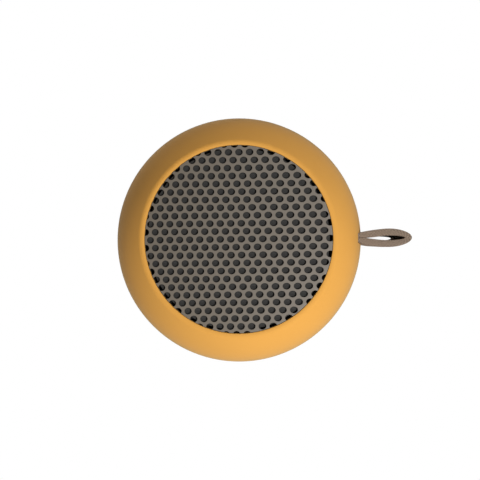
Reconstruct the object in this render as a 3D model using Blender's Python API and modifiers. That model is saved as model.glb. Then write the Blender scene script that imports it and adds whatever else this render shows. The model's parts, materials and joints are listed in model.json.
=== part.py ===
"""A pocket bluetooth speaker: a round puck that lies on its base with the grille facing up.

Frame: +Z up along the speaker's axis, origin at the middle of the base pad's underside.
The strap leaves towards +X, the charging port faces -X and the four keys face -Y.
Sizes below are in millimetres; the helpers turn them into Blender's metres.
"""

import math

import bmesh
import bpy
from mathutils import Matrix, Vector

MM = 0.001
GAP = 0.3  # clearance between pieces that touch on the real speaker

# Casing: an elliptical flank of revolution, with a rounded rim at each end
FLANK_RADIUS = 42.0  # the widest radius, at the split line
FLANK_RISE = 30.5  # the ellipse's other semi-axis
WALL = 2.2
RIM_RADIUS = 32.0  # where the flank meets the rim's rounding
RIM_ROUND = 2.0
PAD_PROUD = 0.66  # how far the base pad stands out of the rear housing
SEAM_GAP = 0.15  # half of the gap between the two housings

RIM_TILT = math.atan(FLANK_RISE / FLANK_RADIUS * RIM_RADIUS / math.sqrt(FLANK_RADIUS**2 - RIM_RADIUS**2))
RIM_CENTRE = RIM_RADIUS - RIM_ROUND * math.sin(RIM_TILT)
RIM_START = FLANK_RISE * math.sqrt(1 - (RIM_RADIUS / FLANK_RADIUS) ** 2)  # above and below the split line
RIM_HEIGHT = RIM_START + RIM_ROUND * (1 - math.cos(RIM_TILT))
SPLIT_Z = RIM_HEIGHT + PAD_PROUD  # height of the widest line
CREST_Z = SPLIT_Z + RIM_HEIGHT

SEAL_RADIUS = 31.4
SEAL_SECTION = 0.75
FLANGE_INNER = 29.8
FLANGE_THICK = 1.85

# Front housing: lip round the grille, ledge for it, and the shelf that holds the driver
LIP_RADIUS = 29.95
LIP_ROUND = RIM_CENTRE - LIP_RADIUS
LEDGE_Z = 38.0
CUP_RADIUS = 28.4
SHELF_TOP = 33.3
SHELF_BOTTOM = 31.1
SHELF_OPENING = 21.2

# Grille: a slightly domed sheet with a turned-down edge, and the cloth behind it
GRILLE_RADIUS = LIP_RADIUS - GAP
GRILLE_TOP = 41.0
GRILLE_DROP = 0.15  # how much lower the dome is where the edge starts to turn down
GRILLE_EDGE_ROUND = 0.6
GRILLE_SHEET = 0.6
CLOTH_RADIUS = 28.5
CLOTH_SHEET = 0.4

# Rear housing
FLOOR_TOP = 3.6
PAD_RECESS_TOP = 1.6
PAD_RECESS_RADIUS = 28.0
LIGHT_Z = 15.2
LIGHT_PIPE_RADIUS = 0.8

# Case screws: up through the rear housing into the front one
CASE_SCREW_CIRCLE = 25.0
CASE_SCREW_ANGLES = [45, 135, 225, 315]
CASE_BOSS_RADIUS = 3.2
FRONT_BOSS_RADIUS = 2.9
CASE_SHANK_RADIUS = 1.2
CASE_HOLE_RADIUS = 1.5
CASE_HEAD_RADIUS = 2.1
CASE_COUNTERBORE_RADIUS = 2.5

# Driver
DRIVER_FLANGE_RADIUS = 26.0
DRIVER_FLANGE_TOP = 35.6
DRIVER_FLANGE_BOTTOM = 34.4
DRIVER_SCREW_CIRCLE = 24.4
DRIVER_SCREW_ANGLES = [0, 90, 180, 270]
DRIVER_SHANK_RADIUS = 0.9
DRIVER_HOLE_RADIUS = 1.25
CONE_RADIUS = 17.2
NECK_RADIUS = 7.05
ROLL_OUTER = 20.8
ROLL_HEIGHT = 1.3

# Main board: a ring round the magnet, with a tongue under the charging port
BOARD_RADIUS = 29.5
BOARD_OPENING = 17.5
BOARD_BOTTOM = 13.2
BOARD_TOP = 14.4
BOARD_SCREWS = [(-10.0, 24.5), (10.0, 24.5), (0.0, -21.5)]
ON_BOARD = BOARD_TOP + GAP

# Keys, side by side under the widest line
KEY_NAMES = ["power_key", "volume_down_key", "play_key", "volume_up_key"]
KEY_ANGLES = [-120, -100, -80, -60]
KEY_Z = 14.4
KEY_SIZE = (8.0, 5.4)
KEY_ROUND = 1.6
KEY_FLANGE = (9.4, 6.8)
KEY_FLANGE_RADIUS = (35.7, 36.6)
KEY_PROUD = 0.2
SWITCH_Z = 16.0
SWITCH_RADIUS = (26.1, 29.6)

# Charging port and its hinged rubber cover
PORT_Z = 16.3
PORT_SIZE = (8.94, 3.2)
PORT_X = (-37.2, -29.9)
RECESS_FLOOR_X = -38.2
RECESS_Z = (12.0, 19.9)
RECESS_HALF_WIDTH = 6.5
HINGE_X = -38.9
HINGE_Z = 13.3
BARREL_RADIUS = 1.0

# Strap: wide webbing that wraps an upright pin in a slot and makes a short loop outside
PIN_X = 36.6
PIN_RADIUS = 0.75
PIN_HALF_LENGTH = 12.3
WRAP_RADIUS = 2.35
STRAP_HALF_HEIGHT = 9.5
STRAP_NECK_X = 39.3
STRAP_NECK = 1.8
STRAP_WIDEST_X = 50.2
STRAP_WIDEST = 3.05
STRAP_TIP_X = 57.6
STRAP_BEND_X = 43.0  # where the loop bends from side to side, just outside the slot
LOOP_GAP_X = (46.7, 55.1)
LOOP_HALF_GAP = 0.78
SLOT_HALF_HEIGHT = 11.2
SLOT_WALL_HALF_HEIGHT = 13.4
SLOT_WALL_THICK = 2.2

# Battery
BATTERY = (50.0, 28.0)
BATTERY_Z = (4.8, 11.8)

SHELL_SIDES = 40
ROUND_SIDES = 24
SMALL_SIDES = 12

# ---------------------------------------------------------------- scene and materials


def clear_scene():
    for thing in list(bpy.data.objects):
        bpy.data.objects.remove(thing)


def new_collection(name):
    made = bpy.data.collections.new(name)
    bpy.context.scene.collection.children.link(made)
    return made


def material(name, colour, roughness, metallic=0.0):
    made = bpy.data.materials.new(name)
    made.use_nodes = True
    shader = made.node_tree.nodes["Principled BSDF"]
    shader.inputs["Base Color"].default_value = (*colour, 1.0)
    shader.inputs["Roughness"].default_value = roughness
    shader.inputs["Metallic"].default_value = metallic
    return made


clear_scene()
PARTS = new_collection("bluetooth_speaker")
CUTTERS = new_collection("cutters")

CASING = material("casing", (0.85, 0.42, 0.09), 0.55)
GRILLE = material("grille", (0.21, 0.18, 0.15), 0.45, 0.6)
CLOTH = material("cloth", (0.03, 0.03, 0.03), 0.9)
RUBBER = material("rubber", (0.07, 0.06, 0.055), 0.8)
KEY_RUBBER = material("key_rubber", (0.78, 0.38, 0.08), 0.6)
WEBBING = material("webbing", (0.26, 0.21, 0.17), 0.95)
STEEL = material("steel", (0.55, 0.55, 0.56), 0.3, 1.0)
FERRITE = material("ferrite", (0.05, 0.05, 0.055), 0.6)
PAPER = material("cone_paper", (0.04, 0.04, 0.045), 0.8)
COPPER = material("copper", (0.72, 0.35, 0.16), 0.35, 1.0)
SPIDER_CLOTH = material("spider_cloth", (0.55, 0.38, 0.16), 0.9)
BOARD = material("board", (0.02, 0.13, 0.07), 0.5)
BLACK_PLASTIC = material("black_plastic", (0.03, 0.03, 0.03), 0.5)
WHITE_PLASTIC = material("white_plastic", (0.8, 0.78, 0.72), 0.5)
FOAM = material("foam", (0.12, 0.12, 0.12), 0.95)
CELL = material("cell_wrap", (0.45, 0.47, 0.5), 0.35, 0.4)
CLEAR = material("light_pipe", (0.85, 0.87, 0.88), 0.15)


# ---------------------------------------------------------------- shapes


def place(obj, paint=None):
    """Puts obj among the parts, or among the cutters if it has no material."""
    (PARTS if paint else CUTTERS).objects.link(obj)
    if paint:
        obj.data.materials.append(paint)
    else:
        obj.hide_render = True
        obj.display_type = "WIRE"
    return obj


def from_bmesh(name, shape, paint=None, origin=(0, 0, 0)):
    """An object from a bmesh in metres, with its own origin at a point in millimetres."""
    centre = Vector(origin) * MM
    bmesh.ops.translate(shape, verts=shape.verts, vec=-centre)
    mesh = bpy.data.meshes.new(name)
    shape.to_mesh(mesh)
    shape.free()
    obj = bpy.data.objects.new(name, mesh)
    obj.location = centre
    return place(obj, paint)


def revolve(name, profile, paint=None, sides=ROUND_SIDES):
    """A solid of revolution. A profile that starts and ends at r = 0 is open, any other is a closed ring.
    Its points (r, z) run down the outer side."""
    on_axis = profile[0][0] == 0
    count = len(profile)
    edges = [(i, (i + 1) % count) for i in range(count - 1 if on_axis else count)]
    mesh = bpy.data.meshes.new(name)
    mesh.from_pydata([(r * MM, 0, z * MM) for r, z in profile], edges, [])
    obj = place(bpy.data.objects.new(name, mesh), paint)
    screw = obj.modifiers.new("turn", "SCREW")
    screw.axis = "Z"
    screw.angle = math.tau
    screw.steps = sides
    screw.render_steps = sides
    screw.use_merge_vertices = True
    screw.merge_threshold = 0.00001
    return obj


def block(name, low, high, paint=None, rounding=0.0, along=2, origin=(0, 0, 0)):
    """A box between two corners, with the four edges along one axis rounded."""
    shape = bmesh.new()
    bmesh.ops.create_cube(shape, size=1.0)
    size = Vector(high) - Vector(low)
    middle = (Vector(high) + Vector(low)) / 2
    bmesh.ops.scale(shape, vec=size * MM, verts=shape.verts)
    if rounding:
        half = size[along] * MM / 2
        edges = [e for e in shape.edges if abs((e.verts[0].co - e.verts[1].co)[along]) > half]
        bmesh.ops.bevel(shape, geom=edges, offset=rounding * MM, segments=3, profile=0.5, affect="EDGES")
    bmesh.ops.translate(shape, vec=middle * MM, verts=shape.verts)
    return from_bmesh(name, shape, paint, origin)


def rod(name, start, end, radius, paint=None, sides=SMALL_SIDES, origin=(0, 0, 0)):
    """A cylinder between two points."""
    start, end = Vector(start) * MM, Vector(end) * MM
    shape = bmesh.new()
    bmesh.ops.create_cone(
        shape,
        cap_ends=True,
        segments=sides,
        radius1=radius * MM,
        radius2=radius * MM,
        depth=(end - start).length,
    )
    turn = (end - start).to_track_quat("Z", "Y").to_matrix().to_4x4()
    bmesh.ops.transform(shape, matrix=Matrix.Translation((start + end) / 2) @ turn, verts=shape.verts)
    return from_bmesh(name, shape, paint, origin)


def slab(name, outlines, low, high, paint=None, origin=(0, 0, 0)):
    """A flat outline, with holes where the later outlines lie inside the first, from z low to z high."""
    curve = bpy.data.curves.new(name, "CURVE")
    curve.dimensions = "2D"
    curve.fill_mode = "BOTH"
    curve.extrude = (high - low) / 2 * MM
    for outline in outlines:
        spline = curve.splines.new("POLY")
        spline.points.add(len(outline) - 1)
        for point, (x, y) in zip(spline.points, outline):
            point.co = ((x - origin[0]) * MM, (y - origin[1]) * MM, 0, 1)
        spline.use_cyclic_u = True
    drawn = bpy.data.objects.new(name + "_curve", curve)
    CUTTERS.objects.link(drawn)
    bpy.context.view_layer.update()
    mesh = bpy.data.meshes.new_from_object(drawn.evaluated_get(bpy.context.evaluated_depsgraph_get()))
    bpy.data.objects.remove(drawn)
    shape = bmesh.new()
    shape.from_mesh(mesh)
    bmesh.ops.remove_doubles(shape, verts=shape.verts, dist=0.00001)
    bmesh.ops.recalc_face_normals(shape, faces=shape.faces)
    shape.to_mesh(mesh)
    shape.free()
    mesh.name = name
    obj = bpy.data.objects.new(name, mesh)
    obj.location = (origin[0] * MM, origin[1] * MM, (low + high) / 2 * MM)
    return place(obj, paint)


def ring(name, centre_z, radius, section, paint=None):
    """A torus round the axis, as a turned circle."""
    circle = arc((radius, centre_z), section, 90, 90 - 360, 6)[:-1]
    return revolve(name, circle, paint, SHELL_SIDES)


def smooth_route(points, per_span=3):
    """Points along a Catmull-Rom curve through the given ones."""
    knots = [Vector(p) for p in points]
    knots = [2 * knots[0] - knots[1], *knots, 2 * knots[-1] - knots[-2]]
    route = []
    for a, b, c, d in zip(knots, knots[1:], knots[2:], knots[3:]):
        for step in range(per_span):
            t = step / per_span
            square, cube = (2 * a - 5 * b + 4 * c - d) * t**2, (3 * b - a - 3 * c + d) * t**3
            route.append(0.5 * (2 * b + (c - a) * t + square + cube))
    return [*route, knots[-2]]


def lead(name, points, radius, paint):
    """A wire along a smooth route."""
    curve = bpy.data.curves.new(name, "CURVE")
    curve.dimensions = "3D"
    curve.bevel_depth = radius * MM
    curve.bevel_resolution = 1
    curve.use_fill_caps = True
    spline = curve.splines.new("POLY")
    route = smooth_route(points)
    spline.points.add(len(route) - 1)
    for point, where in zip(spline.points, route):
        point.co = (*(where * MM), 1)
    return place(bpy.data.objects.new(name, curve), paint)


def boolean(target, operation, *others):
    """One Boolean modifier on target, with one object or with all of several."""
    modifier = target.modifiers.new(operation.lower(), "BOOLEAN")
    modifier.operation = operation
    modifier.solver = "EXACT"
    if len(others) == 1:
        modifier.object = others[0]
        return
    group = bpy.data.collections.new(f"{target.name}_{operation.lower()}_{len(target.modifiers)}")
    CUTTERS.children.link(group)
    for other in others:
        CUTTERS.objects.unlink(other)
        group.objects.link(other)
    modifier.operand_type = "COLLECTION"
    modifier.collection = group


# ---------------------------------------------------------------- outlines


def arc(centre, radius, start, end, steps):
    """Points on a circle, from one angle in degrees to another."""
    angles = [math.radians(start + (end - start) * i / steps) for i in range(steps + 1)]
    return [(centre[0] + radius * math.cos(a), centre[1] + radius * math.sin(a)) for a in angles]


def flank(z, inset=0.0):
    """The flank's radius at a height, or that of a surface inside it."""
    share = (z - SPLIT_Z) / (FLANK_RISE - inset)
    return (FLANK_RADIUS - inset) * math.sqrt(1 - share**2)


def flank_points(low, high, steps, inset=0.0):
    """Points up the flank, evenly spaced in height."""
    heights = [low + (high - low) * i / steps for i in range(steps + 1)]
    return [(flank(z, inset), z) for z in heights]


def around(circle, angle, height=0.0):
    """The point at this radius and angle round the axis."""
    return (circle * math.cos(math.radians(angle)), circle * math.sin(math.radians(angle)), height)


def skin(name, inset):
    """A solid of revolution just inside, or with a negative inset just outside, the flank."""
    reach = FLANK_RISE - inset
    points = [
        ((FLANK_RADIUS - inset) * math.cos(a), SPLIT_Z + reach * math.sin(a))
        for a in (math.radians(90 - 180 * i / 24) for i in range(1, 24))
    ]
    return revolve(name, [(0, SPLIT_Z + reach), *points, (0, SPLIT_Z - reach)], sides=SHELL_SIDES)


# ---------------------------------------------------------------- housings


def case_screw_cutters(name, hole_low, hole_high):
    return [
        rod(f"{name}_screw_{a}", around(CASE_SCREW_CIRCLE, a, hole_low),
            around(CASE_SCREW_CIRCLE, a, hole_high), CASE_HOLE_RADIUS)
        for a in CASE_SCREW_ANGLES
    ]


def strap_slot(name):
    """The slot's cutter: round where the strap wraps its pin, then just wider than the webbing."""
    sides = [(x, strap_half_width(x) + GAP) for x in (38.0, STRAP_NECK_X, 40.5, 41.7, STRAP_BEND_X)]
    outline = [
        *sides,
        *[(x, -y) for x, y in reversed(sides)],
        *reversed(arc((PIN_X, 0), WRAP_RADIUS + GAP, 60, 300, 10)),
    ]
    return slab(name, [outline], SPLIT_Z - SLOT_HALF_HEIGHT, SPLIT_Z + SLOT_HALF_HEIGHT)


def slot_walls(name, low, high):
    """The block inside the wall that the slot is cut into."""
    half = WRAP_RADIUS + GAP + SLOT_WALL_THICK
    walls = block(name, (32.4, -half, low), (41.0, half, high))
    boolean(walls, "INTERSECT", CORE)
    return walls


def pin_hole(name):
    reach = PIN_HALF_LENGTH + GAP
    return rod(name, (PIN_X, 0, SPLIT_Z - reach), (PIN_X, 0, SPLIT_Z + reach), PIN_RADIUS + GAP)


def front_housing():
    split = SPLIT_Z + SEAM_GAP
    rim_centre_z = CREST_Z - RIM_ROUND
    profile = [
        *arc((RIM_CENTRE, CREST_Z - LIP_ROUND), LIP_ROUND, 180, 90, 2)[:-1],
        *arc((RIM_CENTRE, rim_centre_z), RIM_ROUND, 90, 90 - math.degrees(RIM_TILT), 3)[:-1],
        *reversed(flank_points(split, SPLIT_Z + RIM_START, 7)),
        (FLANGE_INNER, split),
        (FLANGE_INNER, split + FLANGE_THICK),
        *flank_points(split + FLANGE_THICK, SHELF_BOTTOM, 2, WALL),
        (SHELF_OPENING, SHELF_BOTTOM),
        (SHELF_OPENING, SHELF_TOP),
        (CUP_RADIUS, SHELF_TOP),
        (CUP_RADIUS, LEDGE_Z),
        (LIP_RADIUS, LEDGE_Z),
    ]
    housing = revolve("front_housing", profile, CASING, SHELL_SIDES)
    bosses = [
        rod(f"front_boss_{a}", around(CASE_SCREW_CIRCLE, a, split + 0.4), around(CASE_SCREW_CIRCLE, a, 31.6),
            FRONT_BOSS_RADIUS, sides=16)
        for a in CASE_SCREW_ANGLES
    ] + [
        rod(f"driver_boss_{a}", around(DRIVER_SCREW_CIRCLE, a, 28.6),
            around(DRIVER_SCREW_CIRCLE, a, 31.6), 2.2)
        for a in DRIVER_SCREW_ANGLES
    ]
    pin_walls = slot_walls("front_slot_walls", split, SPLIT_Z + SLOT_WALL_HALF_HEIGHT)
    boolean(housing, "UNION", pin_walls, *bosses)
    holes = [
        rod(f"driver_hole_{a}", around(DRIVER_SCREW_CIRCLE, a, 29.6), around(DRIVER_SCREW_CIRCLE, a, 34.0),
            DRIVER_HOLE_RADIUS)
        for a in DRIVER_SCREW_ANGLES
    ]
    seal_groove = ring("front_seal_groove", SPLIT_Z, SEAL_RADIUS, SEAL_SECTION + GAP)
    boolean(housing, "DIFFERENCE", seal_groove, *holes, *case_screw_cutters("front", SPLIT_Z, 28.0))
    boolean(housing, "DIFFERENCE", strap_slot("front_slot"))
    boolean(housing, "DIFFERENCE", pin_hole("front_pin_hole"))


def key_openings():
    half_width, half_height = KEY_SIZE[0] / 2 + GAP, KEY_SIZE[1] / 2 + GAP
    openings = []
    for angle in KEY_ANGLES:
        opening = block(f"key_opening_{angle}", (34.5, -half_width, KEY_Z - half_height),
                        (44.0, half_width, KEY_Z + half_height), rounding=KEY_ROUND + GAP, along=0)
        opening.rotation_euler.z = math.radians(angle)
        openings.append(opening)
    return openings


def rear_housing():
    split = SPLIT_Z - SEAM_GAP
    rim_low = 270 + math.degrees(RIM_TILT)
    profile = [
        (0, FLOOR_TOP),
        *flank_points(FLOOR_TOP, split - FLANGE_THICK, 4, WALL),
        (FLANGE_INNER, split - FLANGE_THICK),
        (FLANGE_INNER, split),
        *reversed(flank_points(SPLIT_Z - RIM_START, split, 7)),
        *arc((RIM_CENTRE, PAD_PROUD + RIM_ROUND), RIM_ROUND, rim_low, 270, 3)[1:],
        (PAD_RECESS_RADIUS, PAD_PROUD),
        (PAD_RECESS_RADIUS, PAD_RECESS_TOP),
        (0, PAD_RECESS_TOP),
    ]
    housing = revolve("rear_housing", profile, CASING, SHELL_SIDES)
    bosses = [
        rod(f"rear_boss_{a}", around(CASE_SCREW_CIRCLE, a, 3.0), around(CASE_SCREW_CIRCLE, a, split - 0.1),
            CASE_BOSS_RADIUS, sides=16)
        for a in CASE_SCREW_ANGLES
    ] + [
        rod(f"board_boss_{i}", (x, y, 3.0), (x, y, BOARD_BOTTOM - GAP), 2.1)
        for i, (x, y) in enumerate(BOARD_SCREWS)
    ]
    port_walls = block("port_walls", (-41.0, -8.2, 10.6), (-36.4, 8.2, split - 0.1))
    boolean(port_walls, "INTERSECT", CORE)
    pin_walls = slot_walls("rear_slot_walls", SPLIT_Z - SLOT_WALL_HALF_HEIGHT, split)
    boolean(housing, "UNION", pin_walls, port_walls, *bosses)
    counterbores = [
        rod(f"counterbore_{a}", around(CASE_SCREW_CIRCLE, a, 1.0), around(CASE_SCREW_CIRCLE, a, 4.2),
            CASE_COUNTERBORE_RADIUS, sides=16)
        for a in CASE_SCREW_ANGLES
    ]
    board_holes = [
        rod(f"board_hole_{i}", (x, y, 8.0), (x, y, BOARD_BOTTOM), 1.2)
        for i, (x, y) in enumerate(BOARD_SCREWS)
    ]
    light_hole = rod("light_hole", (0, -34.0, LIGHT_Z), (0, -44.0, LIGHT_Z), LIGHT_PIPE_RADIUS + GAP)
    seal_groove = ring("rear_seal_groove", SPLIT_Z, SEAL_RADIUS, SEAL_SECTION + GAP)
    boolean(housing, "DIFFERENCE", seal_groove, light_hole, *board_holes, *counterbores, *key_openings())
    boolean(housing, "DIFFERENCE", *case_screw_cutters("rear", 3.5, SPLIT_Z))
    boolean(housing, "DIFFERENCE", strap_slot("rear_slot"))
    boolean(housing, "DIFFERENCE", pin_hole("rear_pin_hole"))
    recess = block("port_recess", (-44.0, -RECESS_HALF_WIDTH, RECESS_Z[0]),
                   (RECESS_FLOOR_X, RECESS_HALF_WIDTH, RECESS_Z[1]), rounding=1.0, along=0)
    boolean(housing, "DIFFERENCE", recess)
    groove = rod("barrel_groove", (HINGE_X, -RECESS_HALF_WIDTH, HINGE_Z),
                 (HINGE_X, RECESS_HALF_WIDTH, HINGE_Z), BARREL_RADIUS + GAP)
    boolean(housing, "DIFFERENCE", groove)
    half_width, half_height = PORT_SIZE[0] / 2 + GAP, PORT_SIZE[1] / 2 + GAP
    opening = block("port_opening", (-39.5, -half_width, PORT_Z - half_height),
                    (-34.5, half_width, PORT_Z + half_height), rounding=1.2, along=0)
    boolean(housing, "DIFFERENCE", opening)


def case_screws():
    for number, angle in enumerate(CASE_SCREW_ANGLES, 1):
        screw = revolve(f"case_screw_{number}", [
            (0, 26.0), (CASE_SHANK_RADIUS, 26.0), (CASE_SHANK_RADIUS, 3.9),
            (CASE_HEAD_RADIUS, 3.9), (CASE_HEAD_RADIUS, 1.9), (0, 1.9),
        ], STEEL, SMALL_SIDES)
        screw.location = Vector(around(CASE_SCREW_CIRCLE, angle)) * MM


def base_pad():
    top = PAD_RECESS_TOP - GAP
    radius = PAD_RECESS_RADIUS - GAP
    chamfer = 0.3
    profile = [(0, top), (radius, top), (radius, chamfer), (radius - chamfer, 0), (0, 0)]
    revolve("base_pad", profile, RUBBER, SHELL_SIDES)


# ---------------------------------------------------------------- grille


def dome(radius, top, drop, spread, steps):
    """Points of a shallow dome from the axis outwards."""
    radii = [radius * i / steps for i in range(steps + 1)]
    return [(r, top - drop * (r / spread) ** 2) for r in radii]


def grille():
    turn_radius = GRILLE_RADIUS - GRILLE_EDGE_ROUND
    turn_z = GRILLE_TOP - GRILLE_DROP
    outer = dome(turn_radius, GRILLE_TOP, GRILLE_DROP, turn_radius, 3)
    edge = arc((turn_radius, turn_z - GRILLE_EDGE_ROUND), GRILLE_EDGE_ROUND, 90, 0, 3)[1:]
    foot = LEDGE_Z + GAP
    inner_radius = GRILLE_RADIUS - GRILLE_SHEET
    inner = dome(inner_radius, GRILLE_TOP - GRILLE_SHEET, GRILLE_DROP, turn_radius, 2)
    profile = [*outer, *edge, (GRILLE_RADIUS, foot), (inner_radius, foot), *reversed(inner)]
    revolve("grille", profile, GRILLE, SHELL_SIDES)
    cloth_top = GRILLE_TOP - GRILLE_SHEET - GAP
    upper = dome(CLOTH_RADIUS, cloth_top, GRILLE_DROP, turn_radius, 3)
    lower = dome(CLOTH_RADIUS, cloth_top - CLOTH_SHEET, GRILLE_DROP, turn_radius, 3)
    revolve("grille_cloth", [*upper, *reversed(lower)], CLOTH, ROUND_SIDES)


# ---------------------------------------------------------------- driver


def driver_screws():
    head_low = DRIVER_FLANGE_TOP + GAP
    for number, angle in enumerate(DRIVER_SCREW_ANGLES, 1):
        screw = revolve(f"driver_screw_{number}", [
            (0, head_low + 1.0), (1.5, head_low + 1.0), (1.5, head_low),
            (DRIVER_SHANK_RADIUS, head_low), (DRIVER_SHANK_RADIUS, 30.2), (0, 30.2),
        ], STEEL, SMALL_SIDES)
        screw.location = Vector(around(DRIVER_SCREW_CIRCLE, angle)) * MM


def screw_ring_holes(name, low, high):
    return [
        rod(f"{name}_{a}", around(DRIVER_SCREW_CIRCLE, a, low), around(DRIVER_SCREW_CIRCLE, a, high),
            DRIVER_HOLE_RADIUS)
        for a in DRIVER_SCREW_ANGLES
    ]


def driver_frame():
    low = SHELF_TOP + GAP
    gasket = revolve("driver_gasket", [
        (DRIVER_FLANGE_RADIUS, low + 0.5), (DRIVER_FLANGE_RADIUS, low), (21.6, low), (21.6, low + 0.5),
    ], FOAM)
    boolean(gasket, "DIFFERENCE", *screw_ring_holes("gasket_hole", low - 1, low + 2))
    basket = revolve("driver_basket", [
        (DRIVER_FLANGE_RADIUS, DRIVER_FLANGE_TOP), (DRIVER_FLANGE_RADIUS, DRIVER_FLANGE_BOTTOM),
        (20.9, DRIVER_FLANGE_BOTTOM), (16.0, 25.9), (14.4, 25.9), (14.4, 23.6), (8.5, 23.6), (8.5, 24.2),
        (13.6, 24.2), (13.6, 26.5), (15.5, 26.5), (20.3, 34.9), (20.3, DRIVER_FLANGE_TOP),
    ], STEEL)
    windows = []
    for angle in (45, 135, 225, 315):
        window = block(f"basket_window_{angle}", (14.0, -4.5, 28.3), (24.0, 4.5, 32.6))
        window.rotation_euler.z = math.radians(angle)
        windows.append(window)
    boolean(basket, "DIFFERENCE", *windows, *screw_ring_holes("basket_hole", 33.9, 36.0))
    block("driver_terminal", (-20.0, -3.5, 26.2), (-18.9, 3.5, 29.4), BLACK_PLASTIC)


def driver_motor():
    revolve("top_plate", [(14.5, 23.3), (14.5, 21.0), (7.6, 21.0), (7.6, 23.3)], STEEL)
    revolve("magnet", [(16.0, 20.7), (16.0, 15.7), (9.2, 15.7), (9.2, 20.7)], FERRITE)
    revolve("yoke", [(0, 23.1), (5.9, 23.1), (5.9, 15.4), (15.0, 15.4), (15.0, 13.4), (0, 13.4)], STEEL)


def driver_cone():
    revolve("driver_cone", [
        (CONE_RADIUS, 35.5), (CONE_RADIUS, 34.95), (NECK_RADIUS, 28.9), (NECK_RADIUS, 29.5), (16.6, 35.5),
    ], PAPER)
    cap_radius, cap_rise, steps = 8.4, 2.2, 3
    outer = [(cap_radius * i / steps, 33.2 - cap_rise * (i / steps) ** 2) for i in range(steps + 1)]
    inner = [(r * 0.95, z - 0.4) for r, z in outer]
    revolve("dust_cap", [*outer, *reversed(inner)], PAPER)
    revolve("voice_coil", [
        (6.75, 29.9), (6.75, 24.3), (7.25, 24.3), (7.25, 20.0), (6.75, 20.0), (6.75, 18.9), (6.45, 18.9),
        (6.45, 29.9),
    ], COPPER)


def driver_suspension():
    """The surround's half roll and the corrugated spider, each a thin ring."""
    thick, rim_z, steps = 0.4, 36.3, 4
    middle, half = (ROLL_OUTER + CONE_RADIUS) / 2, (ROLL_OUTER - CONE_RADIUS) / 2
    roll = [
        (middle + half * math.cos(math.pi * i / steps), rim_z + ROLL_HEIGHT * math.sin(math.pi * i / steps))
        for i in range(steps + 1)
    ]
    upper = [(22.5, rim_z), *roll, (16.0, rim_z)]
    lower = [(r, z - thick) for r, z in upper]
    revolve("driver_surround", [*lower, *reversed(upper)], RUBBER)
    low_z, folds = 26.8, 6
    inner, outer = NECK_RADIUS, 13.4
    corrugated = [(outer + (inner - outer) * i / folds, low_z + (0.4, 0.0)[i % 2]) for i in range(folds + 1)]
    lower = [(15.2, low_z), *corrugated]
    upper = [(r, z + 0.35) for r, z in lower]
    revolve("driver_spider", [*lower, *reversed(upper)], SPIDER_CLOTH)


# ---------------------------------------------------------------- electronics


def main_board():
    board = revolve("main_board", [
        (BOARD_RADIUS, BOARD_TOP), (BOARD_RADIUS, BOARD_BOTTOM), (BOARD_OPENING, BOARD_BOTTOM),
        (BOARD_OPENING, BOARD_TOP),
    ], BOARD, 36)
    boolean(board, "UNION", block("port_tongue", (-35.5, -6.5, BOARD_BOTTOM), (-26.0, 6.5, BOARD_TOP)))
    holes = [
        rod(f"board_boss_hole_{a}", around(CASE_SCREW_CIRCLE, a, 12.0), around(CASE_SCREW_CIRCLE, a, 16.0),
            CASE_BOSS_RADIUS + GAP)
        for a in CASE_SCREW_ANGLES
    ] + [
        rod(f"board_screw_hole_{i}", (x, y, 12.0), (x, y, 16.0), 1.2)
        for i, (x, y) in enumerate(BOARD_SCREWS)
    ]
    boolean(board, "DIFFERENCE", *holes)
    for number, (x, y) in enumerate(BOARD_SCREWS, 1):
        screw = revolve(f"board_screw_{number}", [
            (0, ON_BOARD + 1.2), (1.7, ON_BOARD + 1.2), (1.7, ON_BOARD),
            (0.9, ON_BOARD), (0.9, 9.0), (0, 9.0),
        ], STEEL, SMALL_SIDES)
        screw.location = (x * MM, y * MM, 0)


def board_components():
    block("bluetooth_module", (18.4, -10.5, ON_BOARD), (27.0, 1.5, ON_BOARD + 2.0), STEEL)
    block("amplifier_chip", (-22.5, -11.5, ON_BOARD), (-17.5, -6.5, ON_BOARD + 1.0), BLACK_PLASTIC)
    for number, x in enumerate((-3.6, 3.6), 1):
        rod(f"capacitor_{number}", (x, 23.6, ON_BOARD), (x, 23.6, ON_BOARD + 7.5), 3.15, CELL, 20)
    block("battery_socket", (21.0, 6.0, ON_BOARD), (25.0, 11.0, ON_BOARD + 2.5), WHITE_PLASTIC)
    block("speaker_socket", (-26.0, 9.0, ON_BOARD), (-22.0, 14.0, ON_BOARD + 2.5), WHITE_PLASTIC)
    block("status_led", (-0.8, -28.9, ON_BOARD), (0.8, -27.9, ON_BOARD + 1.0), WHITE_PLASTIC)


def charging_port():
    half_width, half_height = PORT_SIZE[0] / 2, PORT_SIZE[1] / 2
    shell = block("charging_port", (PORT_X[0], -half_width, PORT_Z - half_height),
                  (PORT_X[1], half_width, PORT_Z + half_height), STEEL, rounding=1.4, along=0)
    front = PORT_X[0]
    mouth = block("port_mouth", (front - 1, -4.17, PORT_Z - 1.28), (front + 6.2, 4.17, PORT_Z + 1.28),
                  rounding=1.2, along=0)
    boolean(shell, "DIFFERENCE", mouth)
    tongue = block("contact_tongue", (front + 0.8, -3.3, PORT_Z - 0.35), (front + 6.6, 3.3, PORT_Z + 0.35))
    boolean(shell, "UNION", tongue)


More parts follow.
